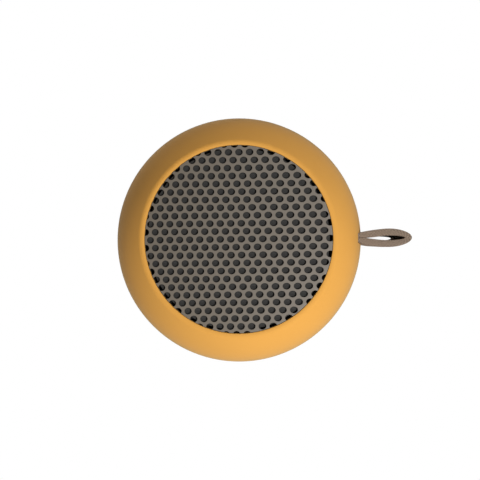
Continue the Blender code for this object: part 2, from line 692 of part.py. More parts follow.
def battery():
    half_x, half_y = BATTERY[0] / 2, BATTERY[1] / 2
    block("battery_cell", (-half_x, -half_y, BATTERY_Z[0]), (half_x, half_y, BATTERY_Z[1]), CELL,
          rounding=2.5, along=0)
    block("battery_foam_bottom", (-20.0, -11.0, 3.9), (20.0, 11.0, 4.5), FOAM)
    block("battery_plug", (25.3, 6.6, ON_BOARD + 0.2), (28.0, 10.4, ON_BOARD + 2.3), WHITE_PLASTIC)
    lead("battery_lead", [
        (25.4, 4.0, 9.0), (28.0, 4.6, 9.0), (31.0, 6.4, 11.0), (31.6, 8.2, 14.0), (30.4, 8.5, 15.9),
        (28.35, 8.5, 15.9),
    ], 0.6, RUBBER)
    block("speaker_plug", (-25.5, 9.6, ON_BOARD + 2.8), (-22.5, 13.4, ON_BOARD + 4.8), WHITE_PLASTIC)
    lead("speaker_lead", [
        (-20.4, 1.5, 27.8), (-22.2, 2.2, 27.6), (-24.4, 4.8, 25.6), (-24.8, 8.4, 23.0), (-24.2, 11.0, 21.4),
        (-24.0, 11.5, 19.9),
    ], 0.6, RUBBER)


# ---------------------------------------------------------------- keys


def in_station(obj, station):
    """Hangs a piece that is drawn facing +X on an empty turned to its place round the axis."""
    obj.parent = station
    obj.matrix_parent_inverse = Matrix.Translation((-station["radius"] * MM, 0, -station["height"] * MM))


def key_and_switch(name, angle, number):
    """A rubber key with its flange and stem, and the side-push switch behind it."""
    station = bpy.data.objects.new(name + "_axis", None)
    PARTS.objects.link(station)
    radius = KEY_FLANGE_RADIUS[1]
    station["radius"], station["height"] = radius, SWITCH_Z
    station.location = Vector(around(radius, angle, SWITCH_Z)) * MM
    station.rotation_euler.z = math.radians(angle)

    half_width, half_height = KEY_SIZE[0] / 2, KEY_SIZE[1] / 2
    key = block(name, (KEY_FLANGE_RADIUS[1] - 0.6, -half_width, KEY_Z - half_height),
                (44.0, half_width, KEY_Z + half_height), KEY_RUBBER, KEY_ROUND, along=0)
    wide, tall = KEY_FLANGE[0] / 2, KEY_FLANGE[1] / 2
    flange = block(name + "_flange", (KEY_FLANGE_RADIUS[0], -wide, KEY_Z - tall),
                   (KEY_FLANGE_RADIUS[1], wide, KEY_Z + tall), rounding=KEY_ROUND, along=0)
    stem = rod(name + "_stem", (31.15, 0, SWITCH_Z), (KEY_FLANGE_RADIUS[0] + 0.5, 0, SWITCH_Z), 0.9)
    for piece in (key, flange, stem):
        in_station(piece, station)
    boolean(key, "INTERSECT", KEY_SKIN)
    boolean(key, "UNION", flange, stem)

    inner, outer = SWITCH_RADIUS
    body = block(f"key_switch_{number}", (inner, -3.0, ON_BOARD),
                 (outer, 3.0, ON_BOARD + 2.6), BLACK_PLASTIC)
    well = block(f"switch_well_{number}", (outer - 2.4, -1.5, SWITCH_Z - 0.85),
                 (outer + 1, 1.5, SWITCH_Z + 0.85))
    plunger = block(f"switch_stem_{number}", (outer - 1.5, -1.2, SWITCH_Z - 0.55),
                    (30.85, 1.2, SWITCH_Z + 0.55), WHITE_PLASTIC)
    for piece in (body, well, plunger):
        in_station(piece, station)
    boolean(body, "DIFFERENCE", well)


def light_pipe():
    pipe = rod("led_light_pipe", (0, -29.3, LIGHT_Z), (0, -44.0, LIGHT_Z), LIGHT_PIPE_RADIUS, CLEAR)
    boolean(pipe, "INTERSECT", FLUSH_SKIN)


# ---------------------------------------------------------------- port cover


def port_cover():
    """A rubber flap: plate flush with the flank, thin web, hinge barrel and a rib that enters the port."""
    hinge = (HINGE_X, 0, HINGE_Z)
    half = RECESS_HALF_WIDTH - GAP
    back_x = RECESS_FLOOR_X - GAP
    cover = block("port_cover", (-44.0, -half, HINGE_Z + 1.5), (back_x, half, RECESS_Z[1] - GAP),
                  KEY_RUBBER, rounding=0.8, along=0, origin=hinge)
    boolean(cover, "INTERSECT", FLUSH_SKIN)
    web = block("cover_web", (HINGE_X - 0.5, -5.0, HINGE_Z), (back_x - 0.02, 5.0, HINGE_Z + 2.2))
    ends = (HINGE_X, -half, HINGE_Z), (HINGE_X, half, HINGE_Z)
    barrel = rod("cover_barrel", *ends, BARREL_RADIUS, sides=16)
    rib = block("cover_rib", (back_x - 0.4, -3.9, PORT_Z - 1.0), (PORT_X[0] - GAP, 3.9, PORT_Z + 1.0))
    boolean(cover, "UNION", web, barrel, rib)


# ---------------------------------------------------------------- strap


def ease(share):
    """0 to 1, smooth at both ends."""
    share = min(1.0, max(0.0, share))
    return share * share * (3 - 2 * share)


def strap_half_width(x):
    """Half of the webbing's width across, seen along the pin."""
    if x > STRAP_WIDEST_X:
        share = (x - STRAP_WIDEST_X) / (STRAP_TIP_X - STRAP_WIDEST_X)
        return STRAP_WIDEST * math.sqrt(max(0.0, 1 - share**1.82))
    if x > STRAP_NECK_X:
        share = (STRAP_WIDEST_X - x) / (STRAP_WIDEST_X - STRAP_NECK_X)
        return STRAP_WIDEST - (STRAP_WIDEST - STRAP_NECK) * share**2.14
    return STRAP_NECK + (WRAP_RADIUS - STRAP_NECK) * ease((STRAP_NECK_X - x) / (STRAP_NECK_X - PIN_X))


def between(start, end, steps):
    return [start + (end - start) * i / steps for i in range(steps + 1)]


def strap_root():
    """The part of the strap that stays in the slot: it wraps the pin and ends in a round front."""
    bend = strap_half_width(STRAP_BEND_X)
    upper = [(x, strap_half_width(x)) for x in between(PIN_X, STRAP_BEND_X, 6)]
    front = arc((STRAP_BEND_X, 0), bend, 90, -90, 8)[1:-1]
    lower = [(x, -y) for x, y in reversed(upper)]
    wrap = arc((PIN_X, 0), WRAP_RADIUS, 270, 90, 8)[1:-1]
    pin = arc((PIN_X, 0), PIN_RADIUS + GAP, 0, 360, 12)[:-1]
    slab("strap_root", [[*upper, *front, *lower, *wrap], pin], SPLIT_Z - STRAP_HALF_HEIGHT,
         SPLIT_Z + STRAP_HALF_HEIGHT, WEBBING, origin=(PIN_X, 0))
    ends = (PIN_X, 0, SPLIT_Z - PIN_HALF_LENGTH), (PIN_X, 0, SPLIT_Z + PIN_HALF_LENGTH)
    rod("strap_pin", *ends, PIN_RADIUS, STEEL)


def strap_loop():
    """The loop outside, drawn as seen along the pin: hollow where it fits round the root's front."""
    hollow = strap_half_width(STRAP_BEND_X) + GAP
    opening = 70  # degrees each side of +X
    corner_x = STRAP_BEND_X + hollow * math.cos(math.radians(opening))
    reach = STRAP_TIP_X - STRAP_WIDEST_X
    tip = [STRAP_WIDEST_X + reach * math.sin(math.radians(90 * i / 7)) for i in range(1, 8)]
    upper = [(x, strap_half_width(x)) for x in [*between(corner_x, STRAP_WIDEST_X, 6)[1:], *tip]]
    lower = [(x, -y) for x, y in reversed(upper[:-1])]
    outer = [*upper, *lower, *arc((STRAP_BEND_X, 0), hollow, -opening, opening, 8)]
    start, end = LOOP_GAP_X
    steps = 10
    half_gaps = [LOOP_HALF_GAP * math.sin(math.pi * i / steps) ** 0.65 for i in range(1, steps)]
    gap_x = between(start, end, steps)
    gap = [(start, 0.0), *zip(gap_x[1:-1], half_gaps), (end, 0.0)]
    gap += [(x, -y) for x, y in reversed(gap[1:-1])]
    slab("strap_loop", [outer, gap], SPLIT_Z - STRAP_HALF_HEIGHT, SPLIT_Z + STRAP_HALF_HEIGHT, WEBBING,
         origin=(STRAP_BEND_X, 0))


# ---------------------------------------------------------------- assembly

CORE = skin("core_skin", 0.8)
FLUSH_SKIN = skin("flush_skin", 0.0)
KEY_SKIN = skin("key_skin", -KEY_PROUD)

front_housing()
rear_housing()
ring("case_seal", SPLIT_Z, SEAL_RADIUS, SEAL_SECTION, RUBBER)
case_screws()
base_pad()
grille()
driver_screws()
driver_frame()
driver_motor()
driver_cone()
driver_suspension()
main_board()
board_components()
charging_port()
battery()
for order, (key_name, key_angle) in enumerate(zip(KEY_NAMES, KEY_ANGLES), 1):
    key_and_switch(key_name, key_angle, order)
light_pipe()
port_cover()
strap_root()
strap_loop()

for thing in PARTS.objects:
    if thing.type == "MESH":
        thing.data.shade_smooth()
        thing.data.set_sharp_from_angle(angle=math.radians(35))
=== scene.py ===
"""The looks of the pocket bluetooth speaker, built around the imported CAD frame.

Everything is in metres in the frame of the CAD: +Z up through the grille, +X towards the strap. The main
sizes come from the CAD nodes' boxes, and the small ones are given in millimetres times MM.
"""

import json
import math

import bmesh
import bpy
from mathutils import Matrix, Quaternion, Vector, noise


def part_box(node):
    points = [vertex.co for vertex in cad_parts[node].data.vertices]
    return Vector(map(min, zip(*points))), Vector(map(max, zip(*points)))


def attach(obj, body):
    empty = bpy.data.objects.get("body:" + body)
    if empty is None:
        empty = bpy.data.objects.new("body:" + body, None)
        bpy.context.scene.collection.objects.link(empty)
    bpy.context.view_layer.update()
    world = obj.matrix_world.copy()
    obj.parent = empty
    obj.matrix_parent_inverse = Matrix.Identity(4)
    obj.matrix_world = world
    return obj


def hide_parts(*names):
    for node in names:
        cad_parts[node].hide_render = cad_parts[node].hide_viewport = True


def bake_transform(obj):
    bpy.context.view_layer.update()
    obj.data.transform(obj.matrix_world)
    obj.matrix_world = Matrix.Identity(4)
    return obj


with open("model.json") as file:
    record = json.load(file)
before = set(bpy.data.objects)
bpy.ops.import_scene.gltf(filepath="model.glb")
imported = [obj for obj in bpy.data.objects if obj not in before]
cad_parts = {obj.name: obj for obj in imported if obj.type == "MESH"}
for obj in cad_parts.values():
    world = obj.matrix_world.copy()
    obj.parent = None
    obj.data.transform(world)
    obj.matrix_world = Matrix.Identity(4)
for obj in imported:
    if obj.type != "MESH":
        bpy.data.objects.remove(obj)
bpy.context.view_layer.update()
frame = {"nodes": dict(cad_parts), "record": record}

MM = 0.001

# ---------------------------------------------------------------- sizes taken from the frame

FRONT_LOW, FRONT_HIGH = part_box("front_housing")
REAR_LOW, REAR_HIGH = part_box("rear_housing")
FLANK_RADIUS = FRONT_HIGH.y
CREST_Z = FRONT_HIGH.z
SPLIT_Z = (FRONT_LOW.z + REAR_HIGH.z) / 2
SEAM_GAP = (FRONT_LOW.z - REAR_HIGH.z) / 2
UNDERSIDE_Z = REAR_LOW.z
FLANK_RISE = 30.5 * MM  # the flank is an ellipse of this height and FLANK_RADIUS
RIM_RADIUS = 32.0 * MM  # where the flank meets the rounding of the rim
RIM_ROUND = 2.0 * MM
LIP_RADIUS = 30.06 * MM  # the edge of the opening for the grille
LIP_SLOPE = math.radians(10)  # from the rim's crest down to that edge
LIP_EDGE = 0.15 * MM
WALL = 2.2 * MM
CLEARANCE = 0.3 * MM

RIM_TILT = math.atan(FLANK_RISE / FLANK_RADIUS * RIM_RADIUS / math.sqrt(FLANK_RADIUS**2 - RIM_RADIUS**2))
RIM_CENTRE = RIM_RADIUS - RIM_ROUND * math.sin(RIM_TILT)

GRILLE_LOW, GRILLE_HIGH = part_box("grille")
CLOTH_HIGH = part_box("grille_cloth")[1]
GASKET_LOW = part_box("driver_gasket")[0]
SHELF_TOP = GASKET_LOW.z - CLEARANCE
SHELF_BOTTOM = SHELF_TOP - 2.2 * MM
SHELF_OPENING = 21.2 * MM
LEDGE_Z = GRILLE_LOW.z - CLEARANCE
CUP_RADIUS = CLOTH_HIGH.x - 0.1 * MM
FLANGE_INNER = 29.8 * MM
FLANGE_THICK = 1.85 * MM

PAD_LOW, PAD_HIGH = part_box("base_pad")
PAD_RECESS_RADIUS = PAD_HIGH.x + CLEARANCE
PAD_RECESS_TOP = PAD_HIGH.z + CLEARANCE
FLOOR_TOP = PAD_RECESS_TOP + 2.0 * MM

STRAP_LOW, STRAP_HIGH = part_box("strap_loop")
WRAP_RADIUS = -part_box("strap_root")[0].y  # of the webbing round its pin
PIN_LOW, PIN_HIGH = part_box("strap_pin")
PIN_X = (PIN_LOW.x + PIN_HIGH.x) / 2
STRAP_PUFF = 0.05 * MM  # how far the soft webbing stands proud of its CAD solid
STRAP_TIP_X = STRAP_HIGH.x + 0.16 * MM
STRAP_WIDEST = STRAP_HIGH.y + STRAP_PUFF
STRAP_WIDEST_X = 50.2 * MM
STRAP_TIP_POWER = 1.82  # how blunt the outline is from there to the tip
STRAP_WAIST_POWER = 2.14  # how quickly it narrows from there towards the casing
STRAP_NECK_X = 39.3 * MM
STRAP_NECK = 1.30 * MM
STRAP_HALF_HEIGHT = (STRAP_HIGH.z - STRAP_LOW.z) / 2
LOOP_GAP_START = 40.4 * MM
LOOP_GAP_OPEN = 50.4 * MM  # where the gap has opened fully
LOOP_GAP_CLOSING = 49.0 * MM  # where it begins to close, before it has opened fully
LOOP_GAP_END = 55.4 * MM
LOOP_HALF_GAP = 0.79 * MM
LOOP_TIP_IN = 0.6 * MM  # how much shorter the loop is at its lower edge
LOOP_TAPER = 0.09  # how much narrower the loop is at its lower edge
SLOT_X = (38.2 * MM, 43.2 * MM)  # from the pocket round the pin to just outside the casing
SLOT_HALF_HEIGHT = 9.9 * MM
SLOT_SIDE = 0.12 * MM  # how much wider the slot is than the webbing, each side

KEY_NAMES = ["power_key", "volume_down_key", "play_key", "volume_up_key"]
KEY_BODIES = ["power_button", "volume_down_button", "play_button", "volume_up_button"]
KEY_ANGLES = [-120, -100, -80, -60]
KEY_Z = (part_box("play_key")[0].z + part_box("play_key")[1].z) / 2
KEY_HALF = (4.0 * MM, 2.7 * MM)
KEY_CORNER = 1.6 * MM
KEY_PROUD = 0.2 * MM
KEY_GAP = 0.22 * MM
KEY_EDGE = 0.55 * MM  # rounding of a key's front edge
KEY_INSETS = (1.6 * MM, 0.9 * MM, 0.55 * MM, 0.32 * MM, 0.16 * MM, 0.05 * MM, 0.0)  # of its rings
KEY_FLANGE_X = (36.6 * MM, 35.7 * MM)  # front and back of the flange behind the wall
KEY_FLANGE_REACH = 0.7 * MM
KEY_STEM_RISE = 1.6 * MM  # how far above the key's middle the stem is
KEY_STEM_HALF = 0.9 * MM
KEY_STEM_CORNER = 0.899 * MM  # almost round
KEY_STEM_END_X = 31.15 * MM
KEY_OPENING_X = 35.5 * MM  # behind the wall
BEYOND = 44.0 * MM  # outside the casing, where cutters that go through its wall begin or end
ICON_DEPTH = 0.22 * MM
ICON_BACK_X = 39.0 * MM
ICON_ZONE = (3.4 * MM, 2.2 * MM, 1.0 * MM)  # half width, half height and corner of the space for it

PORT_LOW, PORT_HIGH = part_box("charging_port")
PORT_Z = (PORT_LOW.z + PORT_HIGH.z) / 2
COVER_LOW, COVER_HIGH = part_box("port_cover")
RECESS_FLOOR_X = -38.2 * MM
RECESS_BOTTOM = 12.0 * MM
RECESS_GAP = 0.2 * MM  # round the cover
HINGE_X, HINGE_Z = -38.9 * MM, 13.3 * MM
BARREL_RADIUS = 1.0 * MM
GROOVE_RADIUS = 1.3 * MM
PORT_WALLS_X = (-41.0 * MM, -36.4 * MM)  # the thicker wall that the port's recess is cut into
PORT_WALLS_HALF_WIDTH = 8.2 * MM
PORT_WALLS_BOTTOM = 10.6 * MM
PORT_WALLS_INSET = 0.6 * MM  # how far under the flank that wall stays
PORT_OPENING_X = (-39.5 * MM, -34.5 * MM)
PIPE_LOW, PIPE_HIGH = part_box("led_light_pipe")
PIPE_Z = (PIPE_LOW.z + PIPE_HIGH.z) / 2
PIPE_RADIUS = 0.8 * MM
PIPE_HOLE_RADIUS = 0.9 * MM

TURN_STEPS = 192
SMALLEST_CORNER = 0.05 * MM

# ---------------------------------------------------------------- mesh helpers


def arc(centre, radius, start, end, steps):
    """Points on a circle, from one angle in degrees to another."""
    angles = [math.radians(start + (end - start) * i / steps) for i in range(steps + 1)]
    return [(centre[0] + radius * math.cos(a), centre[1] + radius * math.sin(a)) for a in angles]


def between(start, end, steps):
    return [start + (end - start) * i / steps for i in range(steps + 1)]


def ease(share):
    """0 to 1, smooth at both ends."""
    share = min(1.0, max(0.0, share))
    return share * share * (3 - 2 * share)


def flank(z, inset=0.0):
    """The flank's radius at a height, or that of a surface inside it."""
    share = (z - SPLIT_Z) / (FLANK_RISE - inset)
    return (FLANK_RADIUS - inset) * math.sqrt(1 - share**2)


def flank_points(low, high, steps, inset=0.0):
    """Points up the flank, evenly spaced in height."""
    return [(flank(z, inset), z) for z in between(low, high, steps)]


def new_object(name, mesh):
    obj = bpy.data.objects.new(name, mesh)
    bpy.context.scene.collection.objects.link(obj)
    return obj


def from_bmesh(name, shape):
    mesh = bpy.data.meshes.new(name)
    shape.to_mesh(mesh)
    shape.free()
    return new_object(name, mesh)


def applied(obj):
    """obj with its modifiers made part of its mesh."""
    bpy.context.view_layer.update()
    mesh = bpy.data.meshes.new_from_object(obj.evaluated_get(bpy.context.evaluated_depsgraph_get()))
    obj.modifiers.clear()
    obj.data = mesh
    return obj


def smooth(obj, angle):
    obj.data.shade_smooth()
    obj.data.set_sharp_from_angle(angle=math.radians(angle))


def turned(name, profile, steps=TURN_STEPS):
    """A solid of revolution: an open profile from the axis to the axis, or a closed ring."""
    on_axis = profile[0][0] == 0
    count = len(profile)
    edges = [(i, (i + 1) % count) for i in range(count - 1 if on_axis else count)]
    mesh = bpy.data.meshes.new(name)
    mesh.from_pydata([(r, 0, z) for r, z in profile], edges, [])
    obj = new_object(name, mesh)
    screw = obj.modifiers.new("turn", "SCREW")
    screw.steps = screw.render_steps = steps
    screw.use_merge_vertices = True
    screw.merge_threshold = 0.000001
    return applied(obj)


def lofted(name, rings):
    """A closed solid through rings of points that have the same count, with its two ends capped."""
    shape = bmesh.new()
    rows = [[shape.verts.new(point) for point in ring] for ring in rings]
    for first, second in zip(rows, rows[1:]):
        for i in range(len(first)):
            j = (i + 1) % len(first)
            shape.faces.new((first[i], first[j], second[j], second[i]))
    shape.faces.new(list(reversed(rows[0])))
    shape.faces.new(rows[-1])
    bmesh.ops.recalc_face_normals(shape, faces=shape.faces)
    return from_bmesh(name, shape)


def prism(name, outline, low, high):
    """An upright prism over an outline in the XY plane."""
    return lofted(name, [[(x, y, z) for x, y in outline] for z in (low, high)])


def bar(name, start, end, radius, sides=32):
    """A cylinder between two points."""
    start, end = Vector(start), Vector(end)
    shape = bmesh.new()
    bmesh.ops.create_cone(shape, cap_ends=True, segments=sides, radius1=radius, radius2=radius,
                          depth=(end - start).length)
    turn = (end - start).to_track_quat("Z", "Y").to_matrix().to_4x4()
    bmesh.ops.transform(shape, matrix=Matrix.Translation((start + end) / 2) @ turn, verts=shape.verts)
    return from_bmesh(name, shape)


def block(name, low, high, rounding, along):
    """A box with the four edges along one axis rounded."""
    shape = bmesh.new()
    bmesh.ops.create_cube(shape, size=1.0)
    size = Vector(high) - Vector(low)
    bmesh.ops.scale(shape, vec=size, verts=shape.verts)
    edges = [e for e in shape.edges if abs((e.verts[0].co - e.verts[1].co)[along]) > size[along] / 2]
    bmesh.ops.bevel(shape, geom=edges, offset=rounding, segments=6, profile=0.5, affect="EDGES")
    bmesh.ops.translate(shape, vec=(Vector(high) + Vector(low)) / 2, verts=shape.verts)
    return from_bmesh(name, shape)


def turn_about_z(obj, angle):
    obj.data.transform(Matrix.Rotation(math.radians(angle), 4, "Z"))
    return obj


def joined(objects):
    """One object that holds the meshes of several."""
    shape = bmesh.new()
    for obj in objects:
        shape.from_mesh(obj.data)
    name = objects[0].name + "_group"
    for obj in objects:
        bpy.data.objects.remove(obj)
    return from_bmesh(name, shape)


def combined(obj, operation, others):
    """obj after one Boolean with others, which may not overlap each other."""
    other = joined(others)
    modifier = obj.modifiers.new("cut", "BOOLEAN")
    modifier.operation = operation
    modifier.solver = "EXACT"
    modifier.object = other
    applied(obj)
    bpy.data.objects.remove(other)
    return obj


def rounded_outline(half_width, half_height, corner, per_corner=8):
    """A rectangle with round corners, anticlockwise from its right side's top."""
    points = []
    for sign_x, sign_y, start in ((1, 1, 0), (-1, 1, 90), (-1, -1, 180), (1, -1, 270)):
        centre = (sign_x * (half_width - corner), sign_y * (half_height - corner))
        points += arc(centre, corner, start, start + 90, per_corner)
    return points


def finish(obj, paint, body, nodes=(), angle=32):
    """Shades a finished piece smooth, gives it its material and the body it rides on, and hides the CAD
    nodes it stands for.
    """
    smooth(obj, angle)
    obj.data.materials.clear()
    obj.data.materials.append(paint)
    if body:
        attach(obj, body)
    if nodes:
        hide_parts(*nodes)


# ---------------------------------------------------------------- materials


class Paint:
    """A Principled material and a few nodes that the materials below share."""

    def __init__(self, name, roughness, metallic=0.0, specular=0.5):
        self.material = bpy.data.materials.new(name)
        self.material.use_nodes = True
        self.tree = self.material.node_tree
        self.shader = self.tree.nodes["Principled BSDF"]
        self.shader.inputs["Roughness"].default_value = roughness
        self.shader.inputs["Metallic"].default_value = metallic
        self.shader.inputs["Specular IOR Level"].default_value = specular
        self.place = self.tree.nodes.new("ShaderNodeTexCoord").outputs["Object"]

    def node(self, kind, **settings):
        made = self.tree.nodes.new(kind)
        for key, value in settings.items():
            setattr(made, key, value)
        return made

    def link(self, source, target):
        self.tree.links.new(source, target)

    def attribute(self, name):
        return self.node("ShaderNodeAttribute", attribute_name=name).outputs["Vector"]

    def noise(self, scale, detail, roughness=0.5, where=None):
        made = self.node("ShaderNodeTexNoise")
        made.inputs["Scale"].default_value = scale
        made.inputs["Detail"].default_value = detail
        made.inputs["Roughness"].default_value = roughness
        self.link(where or self.place, made.inputs["Vector"])
        return made.outputs["Fac"]

    def math(self, operation, first, second=None):
        made = self.node("ShaderNodeMath", operation=operation)
        for socket, value in zip(made.inputs, (first, second)):
            if isinstance(value, (int, float)):
                socket.default_value = value
            elif value is not None:
                self.link(value, socket)
        return made.outputs["Value"]

    def ramp(self, value, stops):
        """A colour ramp, from (position, colour) pairs."""
        made = self.node("ShaderNodeValToRGB")
        while len(made.color_ramp.elements) < len(stops):
            made.color_ramp.elements.new(0.5)
        for element, (position, colour) in zip(made.color_ramp.elements, stops):
            element.position = position
            element.color = (*colour, 1.0)
        self.link(value, made.inputs["Fac"])
        return made.outputs["Color"]

    def colour(self, value, colour, spread):
        """Base colour that varies by spread, as a share, with a 0 to 1 value."""
        dark = [c * (1 - spread) for c in colour]
        light = [min(1.0, c * (1 + spread)) for c in colour]
        self.link(self.ramp(value, [(0.25, dark), (0.75, light)]), self.shader.inputs["Base Color"])

    def rim(self, colour):
        """Painted sheen: blends the base colour towards another where the surface is seen edge on, a painted
        reflection of the pale floor.
        """
        facing = self.node("ShaderNodeLayerWeight").outputs["Facing"]
        mix = self.node("ShaderNodeMixRGB")
        self.link(self.math("POWER", facing, 5.0), mix.inputs["Fac"])
        self.link(self.shader.inputs["Base Color"].links[0].from_socket, mix.inputs["Color1"])
        mix.inputs["Color2"].default_value = (*colour, 1.0)
        self.link(mix.outputs["Color"], self.shader.inputs["Base Color"])
        return self

    def sides(self, share):
        """Painted shade: darkens the base colour on upright faces, such as the walls of holes, to a share of
        what it is on flat ones.
        """
        parts = self.node("ShaderNodeSeparateXYZ")
        self.link(self.node("ShaderNodeNewGeometry").outputs["Normal"], parts.inputs["Vector"])
        shade = self.ramp(parts.outputs["Z"], [(0.25, (share,) * 3), (0.7, (1, 1, 1))])
        mix = self.node("ShaderNodeMixRGB", blend_type="MULTIPLY")
        mix.inputs["Fac"].default_value = 1.0
        self.link(self.shader.inputs["Base Color"].links[0].from_socket, mix.inputs["Color1"])
        self.link(shade, mix.inputs["Color2"])
        self.link(mix.outputs["Color"], self.shader.inputs["Base Color"])
        return self

    def rough(self, value, low, high):
        made = self.node("ShaderNodeMapRange")
        made.inputs["To Min"].default_value = low
        made.inputs["To Max"].default_value = high
        self.link(value, made.inputs["Value"])
        self.link(made.outputs["Result"], self.shader.inputs["Roughness"])

    def bump(self, height, distance, strength):
        made = self.node("ShaderNodeBump")
        made.inputs["Distance"].default_value = distance
        made.inputs["Strength"].default_value = strength
        self.link(height, made.inputs["Height"])
        self.link(made.outputs["Normal"], self.shader.inputs["Normal"])


def soft_touch(name, colour, roughness):
    """Rubberised plastic: a fine even grain, with the faintest unevenness in its gloss."""
    paint = Paint(name, roughness)
    paint.colour(paint.noise(60, 3), colour, 0.012)
    paint.rough(paint.noise(900, 4), roughness - 0.05, roughness + 0.05)
    paint.bump(paint.noise(6500, 2), 0.012 * MM, 0.35)
    return paint


def powder_coat(name, colour, roughness):
    """Painted sheet metal with a slight orange peel."""
    paint = Paint(name, roughness)
    paint.colour(paint.noise(2600, 3), colour, 0.05)
    paint.rough(paint.noise(1800, 3), roughness - 0.06, roughness + 0.06)
    paint.bump(paint.noise(3200, 2), 0.02 * MM, 0.4)
    return paint


def woven(name, colour, pitch, spread, depth, where=None, grain=0.5):
    """Plain weave: over and under threads as bumps, on coordinates in metres."""
    paint = Paint(name, 0.95, specular=0.2)
    place = where(paint) if where else paint.place
    parts = paint.node("ShaderNodeSeparateXYZ")
    paint.link(place, parts.inputs["Vector"])
    waves = []
    for axis in ("X", "Y"):
        scaled = paint.math("MULTIPLY", parts.outputs[axis], math.pi / pitch)
        waves.append(paint.math("SINE", scaled))
    cells = paint.math("MULTIPLY", *waves)
    threads = paint.math("ABSOLUTE", cells)
    fuzz = paint.noise(1.3 / pitch, 3, 0.7, where=place)
    height = paint.math("ADD", threads, paint.math("MULTIPLY", fuzz, 1.4))
    weave = paint.math("MULTIPLY", cells, 0.5 * (1 - grain))
    over = paint.math("ADD", weave, paint.math("MULTIPLY", fuzz, grain))
    tone = paint.math("ADD", over, 0.5 - grain / 2)
    paint.colour(tone, colour, spread)
    paint.bump(height, depth, 0.8)
    return paint


def moulded(name, colour, roughness):
    """Plain moulded plastic or rubber."""
    paint = Paint(name, roughness)
    paint.colour(paint.noise(250, 3), colour, 0.06)
    paint.bump(paint.noise(2500, 2), 0.01 * MM, 0.3)
    return paint


def metal(name, colour, roughness):
    """Plain metal with fine drawn lines."""
    paint = Paint(name, roughness, metallic=1.0)
    paint.colour(paint.noise(400, 4), colour, 0.08)
    paint.rough(paint.noise(1500, 3), roughness - 0.08, roughness + 0.1)
    paint.bump(paint.noise(3000, 2), 0.006 * MM, 0.3)
    return paint


def foam_paint(name, colour):
    paint = Paint(name, 0.95, specular=0.2)
    pores = paint.noise(2200, 4, 0.7)
    paint.colour(pores, colour, 0.35)
    paint.bump(pores, 0.15 * MM, 0.8)
    return paint


def board_paint():
    """Green solder mask with faint copper tracks under it."""
    paint = Paint("board_paint", 0.35)
    tracks = paint.node("ShaderNodeTexBrick")
    tracks.inputs["Scale"].default_value = 420
    tracks.inputs["Mortar Size"].default_value = 0.06
    tracks.inputs["Color1"].default_value = (0.010, 0.110, 0.045, 1)
    tracks.inputs["Color2"].default_value = (0.014, 0.135, 0.055, 1)
    tracks.inputs["Mortar"].default_value = (0.030, 0.220, 0.080, 1)
    paint.link(paint.place, tracks.inputs["Vector"])
    paint.link(tracks.outputs["Color"], paint.shader.inputs["Base Color"])
    paint.bump(tracks.outputs["Fac"], 0.02 * MM, 0.4)
    return paint


CASING_COLOUR = (0.683, 0.326, 0.052)
PAINTED_SHEEN_COLOUR = (0.41, 0.285, 0.115)  # painted sheen: the greyer colour that stands in for the floor's reflection where the coat is seen edge on
GRILLE_COLOUR = (0.152, 0.127, 0.099)
STRAP_COLOUR = (0.212, 0.159, 0.119)

# The casing's base colour turns greyer where it is seen edge on: painted sheen.
CASING = soft_touch("casing_soft_touch", CASING_COLOUR, 0.85).rim(PAINTED_SHEEN_COLOUR)
KEY_RUBBER = soft_touch("key_silicone", tuple(c * 0.93 for c in CASING_COLOUR), 0.8)
# The grille's upright faces, its hole walls and turned-down edge, are darkened to 0.3 of the flat ones:
# painted shade.
GRILLE = powder_coat("grille_powder_coat", GRILLE_COLOUR, 0.48).sides(0.3)
CLOTH = woven("acoustic_cloth", (0.042, 0.041, 0.039), 0.28 * MM, 0.35, 0.05 * MM)
WEBBING = woven("strap_webbing", STRAP_COLOUR, 0.5 * MM, 0.95, 0.06 * MM,
                where=lambda paint: paint.attribute("weave"), grain=0.75)
RUBBER = moulded("dark_rubber", (0.030, 0.028, 0.026), 0.75)
# A near-black moulding for the ring inside the cup round the grille, which stands in for its shade: painted
# shade.
SHADE_SEAT = moulded("painted_shade_seat", (0.006, 0.006, 0.006), 0.9)
PIPE = moulded("light_pipe_plastic", (0.72, 0.74, 0.74), 0.25)

CARRIED = {
    "steel": metal("zinc_steel", (0.52, 0.52, 0.53), 0.34),
    "ferrite": moulded("ferrite_grey", (0.045, 0.045, 0.05), 0.62),
    "cone_paper": foam_paint("pressed_paper", (0.035, 0.035, 0.038)),
    "copper": metal("enamelled_copper", (0.70, 0.33, 0.15), 0.32),
    "spider_cloth": woven("spider_weave", (0.46, 0.30, 0.12), 0.35 * MM, 0.25, 0.06 * MM),
    "board": board_paint(),
    "black_plastic": moulded("black_moulding", (0.025, 0.025, 0.026), 0.45),
    "white_plastic": moulded("white_moulding", (0.74, 0.72, 0.66), 0.42),
    "foam": foam_paint("dark_foam", (0.06, 0.06, 0.062)),
    "cell_wrap": metal("cell_foil", (0.50, 0.52, 0.55), 0.4),
    "rubber": RUBBER,
    "webbing": WEBBING,
    "casing": CASING,
    "key_rubber": KEY_RUBBER,
    "light_pipe": PIPE,
    "grille": GRILLE,
    "cloth": CLOTH,
}


def carried_over():
    """Every CAD node takes the material of its slot, also those that no piece replaces."""
    slots = {part["node"]: part["material_slot"] for part in frame["record"]["subparts"]}
    for name, obj in frame["nodes"].items():
        obj.data.materials.clear()
        obj.data.materials.append(CARRIED[slots[name]].material)
        smooth(obj, 35)


# ---------------------------------------------------------------- camera, light and floor

CAMERA_PLACE = Vector((1.39 * MM, -3.11 * MM, SPLIT_Z + 0.2322))
CAMERA_TARGET = Vector((0.308 * MM, -0.063 * MM, SPLIT_Z))
CAMERA_ROLL = -0.69  # degrees; the speaker is drawn turned a little anticlockwise

